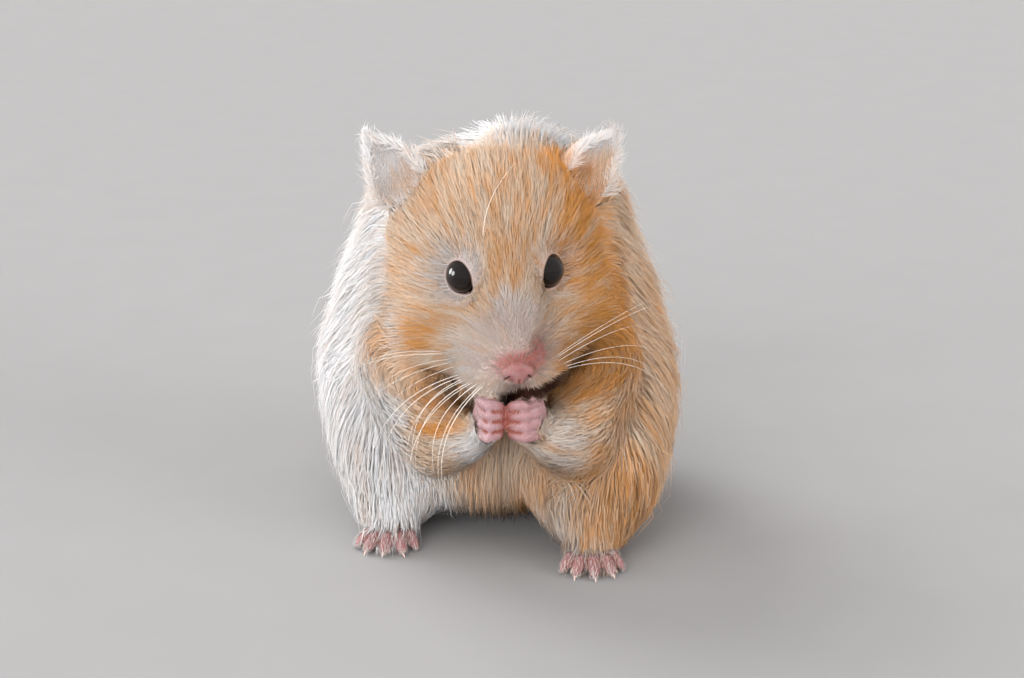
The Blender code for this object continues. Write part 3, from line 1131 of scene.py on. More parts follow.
# ---- the lie of the coat ----
@dataclass(frozen=True)
class HairLength:
    """How long the hair is on each part, in mm, and how far bare places shorten it."""

    trunk: float = 10.5
    neck: float = 9.0
    head_back: float = 6.5
    muzzle: float = 1.5
    foreleg: float = 5.0
    hind_leg: float = 9.0
    nose: float = 0.5
    eye: float = 1.2
    ear: float = 2.0
    ear_rim: float = 2.2
    forepaw: float = 0.8
    hind_foot: float = 1.8
    tail: float = 2.2
    cheek: float = 1.6  # how much longer than on the rest of the head
    short_beside_nape: float = 0.55  # how much shorter it is beside the nape's tuft
    stands: float = 0.62  # of its length, how high a hair bent flat at its tip reaches
    least_height: float = 0.32
    flattest: float = 7.0  # degrees from the skin at the root
    steepest: float = 58.0
    rim_lift: float = 55.0  # how much steeper the hair of the ears' rims stands


@dataclass
class Groom:
    """The lie, length and lift of the hair at every vertex of the skin."""

    skin: Skin
    head: HeadAxes
    eyes: list[Eye]
    nose: Nose
    lengths: HairLength = HairLength()
    bare_of_part: tuple[float, ...] = (0.9, 0.12, 1.0, 1.0, 0.7)  # in the order of BARE_PARTS
    blush_of_part: tuple[tuple[Part, float], ...] = (
        (Part.EAR, 0.08), (Part.FOREPAW, 0.5), (Part.HIND_FOOT, 0.3))
    flow: Array = field(init=False)
    length: Array = field(init=False)
    lift: Array = field(init=False)
    bare: Array = field(init=False)
    blush: Array = field(init=False)

    def __post_init__(self) -> None:
        """Works out the fields."""
        smooth = self.skin.neighbours.smooth
        flow = tangent(self._directions(), self.skin.normals)
        for _ in range(6):
            flow = tangent(smooth(flow, 8), self.skin.normals)
        self.flow = flow
        self.bare = np.clip(smooth(self._bareness(), 2), 0.0, 1.0)
        self.blush = np.clip(smooth(self._blushing(), 2), 0.0, 1.0)
        self.length = self._length()
        height = np.maximum(self.skin.room, self.lengths.least_height * MM)
        reach = height / (self.lengths.stands * self.length)
        low, high = (math.sin(math.radians(a)) for a in (self.lengths.flattest, self.lengths.steepest))
        rim_lift = math.radians(self.lengths.rim_lift) * self.skin.ear_rim
        self.lift = np.arcsin(np.clip(reach, low, high)) + rim_lift

    def _part(self, *parts: Part) -> Array:
        """1 on these parts and 0 off them, softened at their edges."""
        on = np.isin(self.skin.parts, [part.value for part in parts]).astype(float)
        return self.skin.neighbours.smooth(on, 5)[:, None]

    def _directions(self) -> Array:
        """Works out which way the hair would like to lie, before it is laid on the skin.

        Returns:
            A direction for each vertex.
        """
        points = self.skin.points
        side, forward, up = (np.array(axis) for axis in (self.head.side, self.head.forward, self.head.up))
        local = self.head.local(points)
        from_nose = unit(points - np.array(box_middle("nose")) - forward * 3.0 * MM)
        cheek = smoothstep(3.0, -12.0, local[:, 2])[:, None]
        back = smoothstep(18.0, 2.0, local[:, 1])[:, None]
        head = from_nose + (-forward * 1.4 - up * 0.9 * cheek) * back - up * 0.25 * cheek
        head = head + 2.4 * sum(eye.away(points) for eye in self.eyes)
        x, y, z = points.T
        over = smoothstep(0.055, 0.075, z)[:, None]
        neck = np.array([0.0, 0.75, -0.75]) + over * np.array([0.0, 0.25, 0.9])
        neck = neck + np.outer(x, [9.0, 0.0, 0.0])
        front = smoothstep(-0.010, -0.026, y)[:, None]
        trunk = np.array([0.0, 0.5, -1.0]) * (1.0 - front) + np.array([0.0, -0.1, -1.0]) * front
        trunk = trunk + np.outer(smoothstep(0.03, 0.0, z), [0.0, 0.5, 0.3])
        thigh = np.array([0.0, -0.25, -1.0]) + np.outer(smoothstep(-0.005, 0.02, y), [0.0, 0.6, 0.0])
        arm = np.zeros_like(points)
        for name in ("left", "right"):
            wrist = np.array(box_middle(f"forepaw_{name}"))
            near = np.sign(wrist[0] - box_middle("nose").x) * (x - box_middle("nose").x) > 0
            to_wrist = unit(wrist - points) + np.array([0.0, 0.0, -0.35])
            arm[near] = to_wrist[near]
        ears = [np.array(box_middle(f"ear_{name}")) for name in ("left", "right")]
        out = points - np.where(x[:, None] > 0.0, *ears)
        out = unit(out - np.outer(out @ forward, forward)) * self.skin.ear_rim[:, None]
        ear = up + side * 0.25 * np.sign(local[:, :1]) - forward * 0.1 + 1.6 * out
        foot = np.array([0.0, -1.0, -0.1])
        tail = np.array([0.0, 1.0, -0.4])
        ways = (
            (head, (Part.HEAD, Part.NOSE, Part.EYE)), (neck, (Part.NECK,)), (trunk, (Part.TRUNK,)),
            (thigh, (Part.HIND_LEG,)), (arm, (Part.FORELEG, Part.FOREPAW)), (ear, (Part.EAR,)),
            (foot, (Part.HIND_FOOT,)), (tail, (Part.TAIL,)),
        )
        return sum(unit(np.broadcast_to(way, points.shape)) * self._part(*parts) for way, parts in ways)

    def _bareness(self) -> Array:
        """Marks the bare skin.

        Returns:
            From 1 where each vertex is bare to 0 under the coat.
        """
        found = np.zeros(len(self.skin.points))
        for part, value in zip(BARE_PARTS, self.bare_of_part):
            found[self.skin.parts == part.value] = value
        pad, around = self.nose.near(self.skin.points)
        found = np.maximum(found, np.maximum(pad, 0.97 * around))
        for eye in self.eyes:
            found = np.maximum(found, 0.28 * eye.near(self.skin.points))
        return found * (1.0 - 0.8 * self.skin.ear_rim)

    def _blushing(self) -> Array:
        """Works out how much the pink skin shows through the hair.

        Returns:
            From 0 to 1 for each vertex.
        """
        points = self.skin.points
        _, around = self.nose.near(points)
        found = np.maximum(0.95 * around, 0.55 * self.nose.muzzle(points))
        for eye in self.eyes:
            found = np.maximum(found, 0.2 * eye.near(points))
        for part, value in self.blush_of_part:
            found[self.skin.parts == part.value] = value
        return found * (1.0 - self.skin.ear_rim)

    def _length(self) -> Array:
        """Works out how long the hair is.

        Returns:
            The length in metres for each vertex.
        """
        lengths = self.lengths
        _, forward, up = self.head.local(self.skin.points).T
        head = lengths.muzzle + (lengths.head_back - lengths.muzzle) * smoothstep(25.0, 3.0, forward)
        head += lengths.cheek * smoothstep(0.0, -12.0, up) * smoothstep(18.0, 6.0, forward)
        flat = {Part.TRUNK: lengths.trunk, Part.NECK: lengths.neck, Part.FORELEG: lengths.foreleg,
                Part.HIND_LEG: lengths.hind_leg, Part.NOSE: lengths.nose, Part.EYE: lengths.eye,
                Part.EAR: lengths.ear, Part.FOREPAW: lengths.forepaw, Part.HIND_FOOT: lengths.hind_foot,
                Part.TAIL: lengths.tail}
        found = head.copy()
        for part, value in flat.items():
            found[self.skin.parts == part.value] = value
        found *= 1.0 - lengths.short_beside_nape * BESIDE_NAPE.weight(self.skin.points)
        found = self.skin.neighbours.smooth(found, 14) + lengths.ear_rim * self.skin.ear_rim
        for eye in self.eyes:
            near = eye.near(self.skin.points)
            found = found * (1.0 - near) + np.minimum(found, lengths.eye) * near
        room = self.skin.room / MM
        needed = room / (lengths.stands * math.sin(math.radians(lengths.steepest)))
        most = np.maximum(room / (lengths.stands * math.sin(math.radians(lengths.flattest))), 1.5)
        return np.clip(found, needed, most) * MM


# ---- the coat ----
@dataclass(frozen=True)
class Fleece:
    """One piece of the coat."""

    slot: Slot
    density: float  # tufts for each square mm of skin
    width: float  # mm


class Region(Enum):
    """The pieces that the coat is made in."""

    MUZZLE = Fleece(Slot.WHITE, 15.5, 0.14)
    FACE = Fleece(Slot.GOLD, 20.0, 0.17)
    CROWN = Fleece(Slot.GOLD, 12.0, 0.2)
    CHEEKS = Fleece(Slot.GOLD, 12.0, 0.21)
    RUFF = Fleece(Slot.WHITE, 8.5, 0.27)
    CHEST = Fleece(Slot.GOLD, 8.5, 0.27)
    FLANK_LEFT = Fleece(Slot.GOLD, 6.0, 0.29)
    FLANK_RIGHT = Fleece(Slot.WHITE, 6.0, 0.29)
    BACK = Fleece(Slot.WHITE, 5.0, 0.31)
    RUMP = Fleece(Slot.GOLD, 5.0, 0.31)
    BELLY = Fleece(Slot.WHITE, 3.5, 0.3)
    FORELEGS = Fleece(Slot.GOLD, 10.5, 0.21)
    HIND_LEGS = Fleece(Slot.GOLD, 6.7, 0.28)
    EARS = Fleece(Slot.SKIN, 10.5, 0.11)
    FEET = Fleece(Slot.SKIN, 8.0, 0.11)


@dataclass
class Tufts:
    """How the tufts of one piece grow. Arrays have one row for each tuft, and lengths are in metres."""

    spine: Array  # each tuft's root, middle and tip
    normal: Array  # the form's normal under each of those
    uv: Array
    width: Array
    twist: Array
    tint: Array
    white: Array
    warm: Array
    blush: Array
    # how much painted shade darkens each tuft
    shade: Array
    # how much painted glow of light through the thin ears each tuft takes
    ear: Array


@dataclass(frozen=True)
class TuftShape:
    """A closed, three-sided blade that tapers to a point, as arrays for many tufts at once."""

    levels: tuple[float, ...] = (0.0, 0.52, 1.0)  # how far along the tuft its rings and its tip lie
    thickness: float = 0.36  # of its width
    taper: float = 0.75
    roundness: float = 0.3  # how far its own roundness turns the form's normal
    off_floor: float = 0.25 * MM  # how near the floor a root may lie, and a tip twice that
    patch: float = 0.003  # how much of the map a tuft takes, around its root's place on it

    def _faces(self) -> list[tuple[int, ...]]:
        """Lists the faces of one tuft.

        Returns:
            The vertices of each.
        """
        rings = len(self.levels) - 1
        tip = rings * 3
        faces: list[tuple[int, ...]] = [(2, 1, 0)]
        for ring in range(rings):
            for i in range(3):
                a, b = 3 * ring + i, 3 * ring + (i + 1) % 3
                faces.append((a, b, tip) if ring == rings - 1 else (a, b, b + 3, a + 3))
        return faces

    def _points(self, tufts: Tufts) -> tuple[Array, Array, Array]:
        """Shapes the tufts.

        Args:
            tufts: where and how they grow.

        Returns:
            Each vertex's place, its level along its tuft, and a normal that lights the coat as a whole.
        """
        level = np.array(self.levels)
        spine = tufts.spine.copy()
        floor = self.off_floor * (1.0 + level)
        spine[:, :, 2] = np.maximum(spine[:, :, 2], floor)
        ahead = unit(np.diff(spine, axis=1))
        normal = tufts.normal[:, :-1]
        across = unit(np.cross(normal, ahead))
        turn = tufts.twist[:, None, None]
        flat = across * np.cos(turn) + normal * np.sin(turn)
        deep = normal * np.cos(turn) - across * np.sin(turn)
        width = tufts.width[:, None] * (1.0 - self.taper * level[:-1] ** 1.6)
        corners = np.array([[-0.5, 0.0], [0.5, 0.0], [0.0, self.thickness]])
        offset = flat[:, :, None, :] * corners[:, :1] + deep[:, :, None, :] * corners[:, 1:]
        count = len(spine)
        rings = (spine[:, :-1, None, :] + offset * width[:, :, None, None]).reshape(count, -1, 3)
        round_off = unit(offset - offset.mean(axis=2, keepdims=True))
        normals = tufts.normal[:, :-1, None, :] + self.roundness * round_off
        points = np.concatenate([rings, spine[:, -1:]], axis=1)
        normals = np.concatenate([normals.reshape(count, -1, 3), tufts.normal[:, -1:]], axis=1)
        return points, np.append(np.repeat(level[:-1], 3), 1.0), unit(normals)

    def mesh(self, name: str, tufts: Tufts) -> Mesh:
        """One mesh of all the tufts, with their markings and their map.

        Args:
            name: the mesh's name.
            tufts: where and how the tufts grow.

        Returns:
            The mesh.
        """
        points, levels, normals = self._points(tufts)
        faces = self._faces()
        count, per_tuft = points.shape[:2]
        corners = np.concatenate([np.array(face) for face in faces])
        sizes = np.array([len(face) for face in faces])
        starts = np.concatenate([[0], np.cumsum(sizes)[:-1]])
        mesh = bpy.data.meshes.new(name)
        mesh.vertices.add(count * per_tuft)
        mesh.loops.add(count * len(corners))
        mesh.polygons.add(count * len(faces))
        tuft = np.arange(count)[:, None]
        write(mesh.vertices, "co", points)
        write(mesh.loops, "vertex_index", tuft * per_tuft + corners, np.int32)
        write(mesh.polygons, "loop_start", tuft * len(corners) + starts, np.int32)
        mesh.update(calc_edges=True)
        place = np.array([0.0, 1.0, 0.5] * (len(self.levels) - 1) + [0.5])
        spread = np.stack([levels, place], axis=1)[corners] - 0.5
        uv = tufts.uv[:, None, :] + spread[None, :, :] * self.patch
        write(mesh.uv_layers.new(name=BAKE_MAP).uv, "vector", uv)
        marks = (np.repeat(values, per_tuft) for values in (tufts.tint, tufts.white, tufts.warm))
        paint(mesh, COAT_LAYER, np.tile(levels, count), *marks)
        marks = (np.repeat(values, per_tuft) for values in (tufts.blush, tufts.shade, tufts.ear))
        paint(mesh, BLUSH_SHADE_GLOW_LAYER, *marks)
        mesh.shade_smooth()
        mesh.normals_split_custom_set_from_vertices(normals.reshape(-1, 3).astype(np.float32))
        return mesh


@dataclass(frozen=True)
class Streaks:
    """A smooth unevenness drawn out along the hair: waves that are fainter where they change along it."""

    seed: int
    waves: int = 72
    shortest: float = 1.0 * MM
    longest: float = 3.2 * MM
    drawn: float = 2.6 * MM  # half the length over which a hair takes one value

    def at(self, points: Array, flow: Array, scale: float) -> Array:
        """The unevenness at each place, with a mean of 0 and a spread of 1.

        Args:
            points: the places.
            flow: which way the hair lies at each.
            scale: how much coarser to make the streaks.

        Returns:
            One number for each place.
        """
        rng = np.random.default_rng(self.seed)
        way = unit(rng.standard_normal((self.waves, 3)))
        length = rng.uniform(self.shortest, self.longest, self.waves) * scale
        wave = way * (2.0 * math.pi / length)[:, None]
        angle = points @ wave.T + rng.uniform(0.0, 2.0 * math.pi, self.waves)
        value = (np.sin(angle) * np.sinc((flow @ wave.T) * self.drawn * scale / math.pi)).sum(axis=1)
        return value / value.std()


@dataclass
class Coat:
    """All the tufts, in one piece for each region."""

    skin: Skin
    groom: Groom
    markings: Markings
    head: HeadAxes
    seed: int = 20
    yaw: float = 7.0  # degrees, the spread of the tufts' headings
    rim_yaw: float = 28.0  # how much wider it is on the ears' rims
    lock_size: int = 16  # tufts to a lock
    gather: float = 0.18
    guard_share: float = 0.05
    guard_length: float = 1.22
    sunk: float = 0.15  # mm, how deep the roots sit
    over: float = 0.35  # mm, how far a tuft may lie over the coat's surface
    rim_over: float = 1.6  # mm, how much further a free tuft may
    least: float = 0.12  # mm, how near the skin its tip may lie
    stray: float = 0.14
    guard_stray: float = 0.4
    length_spread: float = 0.14  # of a tuft's length
    lift_spread: float = 0.08  # of its lift
    guard_width: float = 0.6  # of the others'
    full_width_at: float = 2.2  # mm, the length from which a tuft has its full width
    tone_drawn: float = 0.14  # the unevenness drawn out along the hair, of tone, depth and white
    warm_drawn: float = 0.18
    white_drawn: float = 0.11
    mark_spread: float = 0.10  # from tuft to tuft, of depth and white
    tone_spread: tuple[float, float] = (0.11, 0.13)  # from lock to lock, and from tuft to tuft
    least_uneven: float = 0.35  # how much of the white's unevenness is left where the coat is gold

    def __post_init__(self) -> None:
        """Reads the skin's triangles and shares them among the regions."""
        mesh = self.skin.mesh
        mesh.calc_loop_triangles()
        self.corners = read(mesh.loop_triangles, "vertices", 3)
        self.loops = read(mesh.loop_triangles, "loops", 3)
        self.uv = read(mesh.uv_layers[BAKE_MAP].uv, "vector", 2, np.float32)
        a, b, c = (self.skin.points[self.corners[:, i]] for i in range(3))
        self.area = np.linalg.norm(np.cross(b - a, c - a), axis=1) / 2 / MM ** 2
        self.region = self._regions((a + b + c) / 3)
        self.tree = KDTree(len(self.skin.points))
        for place, point in enumerate(self.skin.points):
            self.tree.insert(point, place)
        self.tree.balance()

    def _regions(self, middles: Array) -> Array:
        """Shares the skin's triangles among the regions.

        Args:
            middles: the middle of each triangle.

        Returns:
            The region of each, as its place in Region.
        """
        parts = self.skin.parts[self.corners].min(axis=1)
        side, forward, up = self.head.local(middles).T
        x, y, z = (middles / MM).T
        names = list(Region)
        found = np.full(len(middles), names.index(Region.RUFF))

        def put(region: Region, where: Array) -> None:
            """Gives the region these triangles."""
            found[where] = names.index(region)

        head = np.isin(parts, [Part.HEAD.value, Part.EYE.value, Part.NOSE.value])
        put(Region.FACE, head)
        put(Region.CHEEKS, head & (up < 3.0) & ((np.abs(side) > 12.0) | (forward < 9.0)))
        put(Region.CROWN, head & (up >= 3.0) & (forward < 16.5))
        put(Region.MUZZLE, head & (forward > 15.5) & (up < -5.0) & (np.abs(side) <= 11.0))
        trunk = parts == Part.TRUNK.value
        put(Region.BACK, trunk & (z > 40.0))
        put(Region.CHEST, trunk & (y < -10.0))
        flank = trunk & (np.abs(x) > 17.0) & (y >= -10.0)
        put(Region.FLANK_LEFT, flank & (x > 0))
        put(Region.FLANK_RIGHT, flank & (x < 0))
        put(Region.RUMP, trunk & ~flank & (y >= -10.0) & (z <= 40.0))
        put(Region.BELLY, trunk & (z < 6.0))
        put(Region.FORELEGS, np.isin(parts, [Part.FORELEG.value]))
        put(Region.HIND_LEGS, np.isin(parts, [Part.HIND_LEG.value]))
        put(Region.EARS, np.isin(parts, [Part.EAR.value]))
        put(Region.FEET, np.isin(parts, [Part.HIND_FOOT.value, Part.FOREPAW.value, Part.TAIL.value]))
        return found

    def _density(self, region: Region) -> Array:
        """Works out how densely the coat grows, thinned where the skin is bare.

        Args:
            region: the region to fill.

        Returns:
            Tufts for each square mm of each triangle, 0 outside the region.
        """
        here = self.region == list(Region).index(region)
        bare = self.groom.bare[self.corners].mean(axis=1)
        thin = np.clip(1.15 - bare, 0.0, 1.0)
        if region is Region.FEET:
            ankle = self.skin.neighbours.smooth((self.skin.parts <= Part.HIND_LEG.value).astype(float), 60)
            on_hands = (self.skin.parts == Part.FOREPAW.value)[self.corners].all(axis=1)
            thin = np.clip(ankle[self.corners].mean(axis=1) * 2.5, 0.0, 1.0) + np.where(on_hands, 0.1, 0.5)
        inside = 1.0
        for eye in self.groom.eyes:
            margin = eye.lid_margin(self.skin.points)[self.corners].max(axis=1)
            inside = inside * (margin < 0.6)
        nose_and_mouth_shade = self.groom.nose.darkness(self.skin.points)[self.corners].mean(axis=1)
        more = 1.0 + 4.0 * self.skin.ear_rim[self.corners].mean(axis=1)
        return region.value.density * thin * inside * (1.0 - nose_and_mouth_shade) ** 2 * more * here

    def _roots(self, region: Region, rng: Chance) -> tuple[Array, Array]:
        """Spreads the roots of a region's tufts.

        Args:
            region: the region.
            rng: the source of chance.

        Returns:
            The triangle of each root, and its place in it.
        """
        expected = np.cumsum(self.area * self._density(region))
        count = int(expected[-1])
        spots = (np.arange(count) + rng.random(count)) / count * expected[-1]
        triangle = np.minimum(np.searchsorted(expected, spots), len(expected) - 1)
        u, v = rng.random((2, count))
        over = u + v > 1.0
        u[over], v[over] = 1.0 - u[over], 1.0 - v[over]
        return triangle, np.stack([1.0 - u - v, u, v], axis=1)

    def _grow(self, region: Region, rng: Chance) -> Tufts:
        """Works out every tuft of a region.

        Args:
            region: the region.
            rng: the source of chance.

        Returns:
            The tufts.
        """
        triangle, share = self._roots(region, rng)
        corners = self.corners[triangle]

        def at(values: Array) -> Array:
            """A value of the skin's vertices at each root."""
            rows = values[corners]
            return (rows * (share if rows.ndim == 2 else share[:, :, None])).sum(axis=1)

        count = len(triangle)
        root, normal = at(self.skin.points), unit(at(self.skin.normals))
        flow = tangent(at(self.groom.flow), normal)
        uv = (self.uv[self.loops[triangle]] * share[:, :, None]).sum(axis=1)
        rim = at(self.skin.ear_rim)
        across = np.cross(normal, flow)
        heading = np.radians(self.yaw + self.rim_yaw * rim) * rng.standard_normal(count)
        flow = flow * np.cos(heading)[:, None] + across * np.sin(heading)[:, None]
        uneven = (1.0 + self.length_spread * rng.standard_normal(count)).clip(0.6, 1.4)
        length = at(self.groom.length) * uneven
        uneven = (1.0 + self.lift_spread * rng.standard_normal(count)).clip(0.6, 1.4)
        lift = at(self.groom.lift) * uneven
        width = region.value.width * MM * (0.75 + 0.5 * rng.random(count))
        width *= np.clip(length / (self.full_width_at * MM), 0.55, 1.0)
        guard = rng.random(count) < self.guard_share
        length[guard] *= self.guard_length
        width[guard] *= self.guard_width
        gather, tone = self._locks(root, flow, length, rng)
        scale = region.value.width / Region.FACE.value.width
        tone += self.tone_drawn * Streaks(3).at(root, flow, scale)
        warm_streak = self.warm_drawn * Streaks(5).at(root, flow, scale)
        white_streak = self.white_drawn * Streaks(8).at(root, flow, scale)
        jitter = root + flow * (length * rng.uniform(-0.35, 0.2, count))[:, None]
        white = self.markings.whiteness(jitter)
        spread = self.least_uneven + (1.0 - self.least_uneven) * smoothstep(0.0, 0.3, white)
        white = white + spread * (self.mark_spread * rng.standard_normal(count) + white_streak)
        white = np.maximum(white, rim)
        warm = self.markings.warmth(root) + self.mark_spread * rng.standard_normal(count) + warm_streak
        blush = at(self.groom.blush) * (1.0 + 0.3 * np.clip(white_streak / self.white_drawn, -1.0, 1.0))
        spine, normals = self._combed(root, normal, flow, length, lift, guard, rim, rng)
        spine += gather[:, None, :] * np.array([0.0, 0.27, 1.0])[:, None]
        # the painted glow of light through the ears, and the painted shade
        ear = at(self.skin.ear)
        shade = self.markings.shade(spine[:, 1]) * (region is not Region.FEET)
        marks = (np.clip(values, 0.0, 1.0) for values in (0.5 + tone, white, warm, blush, shade, ear))
        kept = np.ones(count, bool)
        for eye in self.groom.eyes:
            kept &= np.maximum(eye.lid_margin(spine[:, 1]), eye.lid_margin(spine[:, 2])) < 0.5
        columns = (spine, normals, uv, width, rng.uniform(-0.6, 0.6, count), *marks)
        return Tufts(*(values[kept] for values in columns))

    def _combed(self, root: Array, normal: Array, flow: Array, length: Array, lift: Array, guard: Array,
                rim: Array, rng: Chance) -> tuple[Array, Array]:
        """Lays each tuft along the form, under the coat's surface.

        Args:
            root: where the tufts grow.
            normal: the skin's normal there.
            flow: which way each sets off.
            length: how long each is.
            lift: the angle at which each leaves the skin.
            guard: whether it is a longer hair that may stand out.
            rim: from 0 to 1 on an ear's rim, where it stands out straight.
            rng: the source of chance.

        Returns:
            The root, middle and tip of each, and the form's normal under them.
        """
        sunk = np.minimum(self.sunk * MM, 0.08 * length)[:, None]
        spine, normals = [root - normal * sunk], [normal]
        place, way = root, flow
        stray = 1.0 + np.where(guard, self.guard_stray, self.stray) * rng.standard_normal(len(root))
        free = rim
        for eye in self.groom.eyes:
            free = np.maximum(free, eye.near(root))
        held = 1.0 - free[:, None]
        for bent, straight in ((0.42, 0.5), (0.62, 1.0)):
            rise = bent + (straight - bent) * rim
            aim = place + way * (0.5 * length * np.cos(lift * (0.6 + 0.4 * rim)))[:, None]
            found = np.array([self.tree.find(spot)[1] for spot in aim])
            under = unit(self.skin.normals[found] * held + normal * (1.0 - held))
            turned = (under * normal).sum(axis=1) < 0.0
            under[turned] = normal[turned]
            place = aim - under * ((aim - self.skin.points[found]) * under).sum(axis=1, keepdims=True) * held
            way = unit(tangent(way, under) + tangent(self.groom.flow[found], under) * held)
            room = self.skin.room[found] + (self.over + self.rim_over * rim) * MM
            height = np.minimum(rise * length * np.sin(lift), room) * np.clip(stray, 0.5, 1.7)
            spine.append(place + under * np.maximum(height, self.least * MM)[:, None])
            normals.append(under)
        return np.stack(spine, axis=1), np.stack(normals, axis=1)

    def _locks(self, root: Array, flow: Array, length: Array,
               rng: Chance) -> tuple[Array, Array]:
        """Gathers the tufts in locks.

        Args:
            root: where the tufts grow.
            flow: which way each sets off.
            length: how long each is.
            rng: the source of chance.

        Returns:
            How far each tip is drawn towards its lock, and each tuft's own tone about 0.
        """
        guides = np.flatnonzero(rng.random(len(root)) < 1.0 / self.lock_size)
        tree = KDTree(len(guides))
        for i, guide in enumerate(guides):
            tree.insert(root[guide], i)
        tree.balance()
        nearest = guides[np.array([tree.find(place)[1] for place in root])]
        offset = root[nearest] - root
        offset -= flow * (offset * flow).sum(axis=1, keepdims=True)
        far = np.maximum(np.linalg.norm(offset, axis=1, keepdims=True), 1e-6)
        reach = np.minimum(1.0, 0.5 * length[:, None] / far)
        of_lock, of_tuft = self.tone_spread
        tone_of = of_lock * rng.standard_normal(len(root))
        tone = tone_of[nearest] + of_tuft * rng.standard_normal(len(root))
        return offset * self.gather * reach, tone

    def build(self, material: Material) -> None:
        """Makes every piece of the coat.

        Args:
            material: what the tufts are made of.
        """
        for place, region in enumerate(Region):
            tufts = self._grow(region, np.random.default_rng(self.seed + place))
            mesh = TuftShape().mesh(f"coat_{region.name.lower()}", tufts)
            declare(link(mesh.name, mesh), material, region.value.slot)


# ---- whiskers and claws ----
@dataclass(frozen=True)
class Whisker:
    """One long stiff hair: root and tip in mm in the figure's axes, and how far its middle bows out."""

    root: Point
    tip: Point
    bow: Point = (0.0, 0.0, 0.0)
    radius: float = 0.072


@dataclass
class Whiskers:
    """The long hairs of the muzzle and brows."""

    skin: Skin
    points_along: int = 14
    sunk: float = 0.3  # mm, how deep the roots sit
    bowed: float = 0.8  # of what each states
    taper: float = 0.8
    # the first and the last whisker of each fan, and how many it has
    fans: tuple[tuple[Whisker, Whisker, int], ...] = (
        (Whisker((-1.5, -41, 38.5), (-9, -45, 19), (-4, -3, 2)),
         Whisker((-7, -37, 39), (-23, -39, 20.5), (-4.5, -3, 4.5)), 9),
        (Whisker((-7.5, -36, 40.5), (-24, -40, 31), (-2, -3, 2), 0.05),
         Whisker((-9, -35, 42.5), (-31, -35, 38), (-2, -2, 3), 0.035), 5),
        (Whisker((11.5, -37.5, 43.5), (30, -38, 56), (2, -3, 3), 0.042),
         Whisker((13.5, -36, 39.5), (31, -37, 36), (2, -3, 4.5), 0.036), 6),
    )
    lone: tuple[Whisker, ...] = (
        Whisker((-2.2, -30.7, 63), (4, -36, 78.5), (-2, -2.5, 1), 0.07),
    )

    def _all(self) -> list[Whisker]:
        """Fills the fans in between their ends.

        Returns:
            Every whisker.
        """
        rng = np.random.default_rng(7)
        found = list(self.lone)
        for first, last, count in self.fans:
            for i in range(count):
                share = (i + 0.35 * rng.uniform(-1.0, 1.0)) / (count - 1)
                ends = [np.array(a) * (1.0 - share) + np.array(b) * share
                        for a, b in ((first.root, last.root), (first.tip, last.tip), (first.bow, last.bow))]
                length = rng.uniform(0.72, 1.05)
                tip = ends[0] + (ends[1] - ends[0]) * length + rng.uniform(-0.8, 0.8, 3)
                radius = first.radius * rng.uniform(0.75, 1.1)
                found.append(Whisker(tuple(ends[0]), tuple(tip), tuple(ends[2] * length), radius))
        return found

    def build(self, material: Material) -> None:
        """Makes the whiskers as one piece of tapered tubes.

        Args:
            material: what they are made of.
        """
        tree = BVHTree.FromPolygons([Vector(p) for p in self.skin.points],
                                    [tuple(face.vertices) for face in self.skin.mesh.polygons])
        curve = bpy.data.curves.new("whiskers", "CURVE")
        curve.dimensions = "3D"
        curve.bevel_depth = 1.0
        curve.bevel_resolution = 1
        curve.use_fill_caps = True
        for whisker in self._all():
            place, normal, _, _ = tree.find_nearest(Vector(whisker.root) * MM)
            root = place - normal * self.sunk * MM
            line = curve.splines.new("POLY")
            line.points.add(self.points_along - 1)
            for i, point in enumerate(line.points):
                t = i / (self.points_along - 1)
                bow = Vector(whisker.bow) * MM * (4.0 * t * (1.0 - t)) * self.bowed
                point.co = (*(root.lerp(Vector(whisker.tip) * MM, t) + bow), 1.0)
                point.radius = whisker.radius * MM * (1.0 - self.taper * t)
        drawn = bpy.data.objects.new("whiskers_drawn", curve)
        bpy.context.scene.collection.objects.link(drawn)
        graph = bpy.context.evaluated_depsgraph_get()
        mesh = bpy.data.meshes.new_from_object(drawn.evaluated_get(graph))
        bpy.data.objects.remove(drawn)
        mesh.name = "whiskers"
        mesh.shade_smooth()
        declare(link("whiskers", mesh), material, Slot.WHITE)


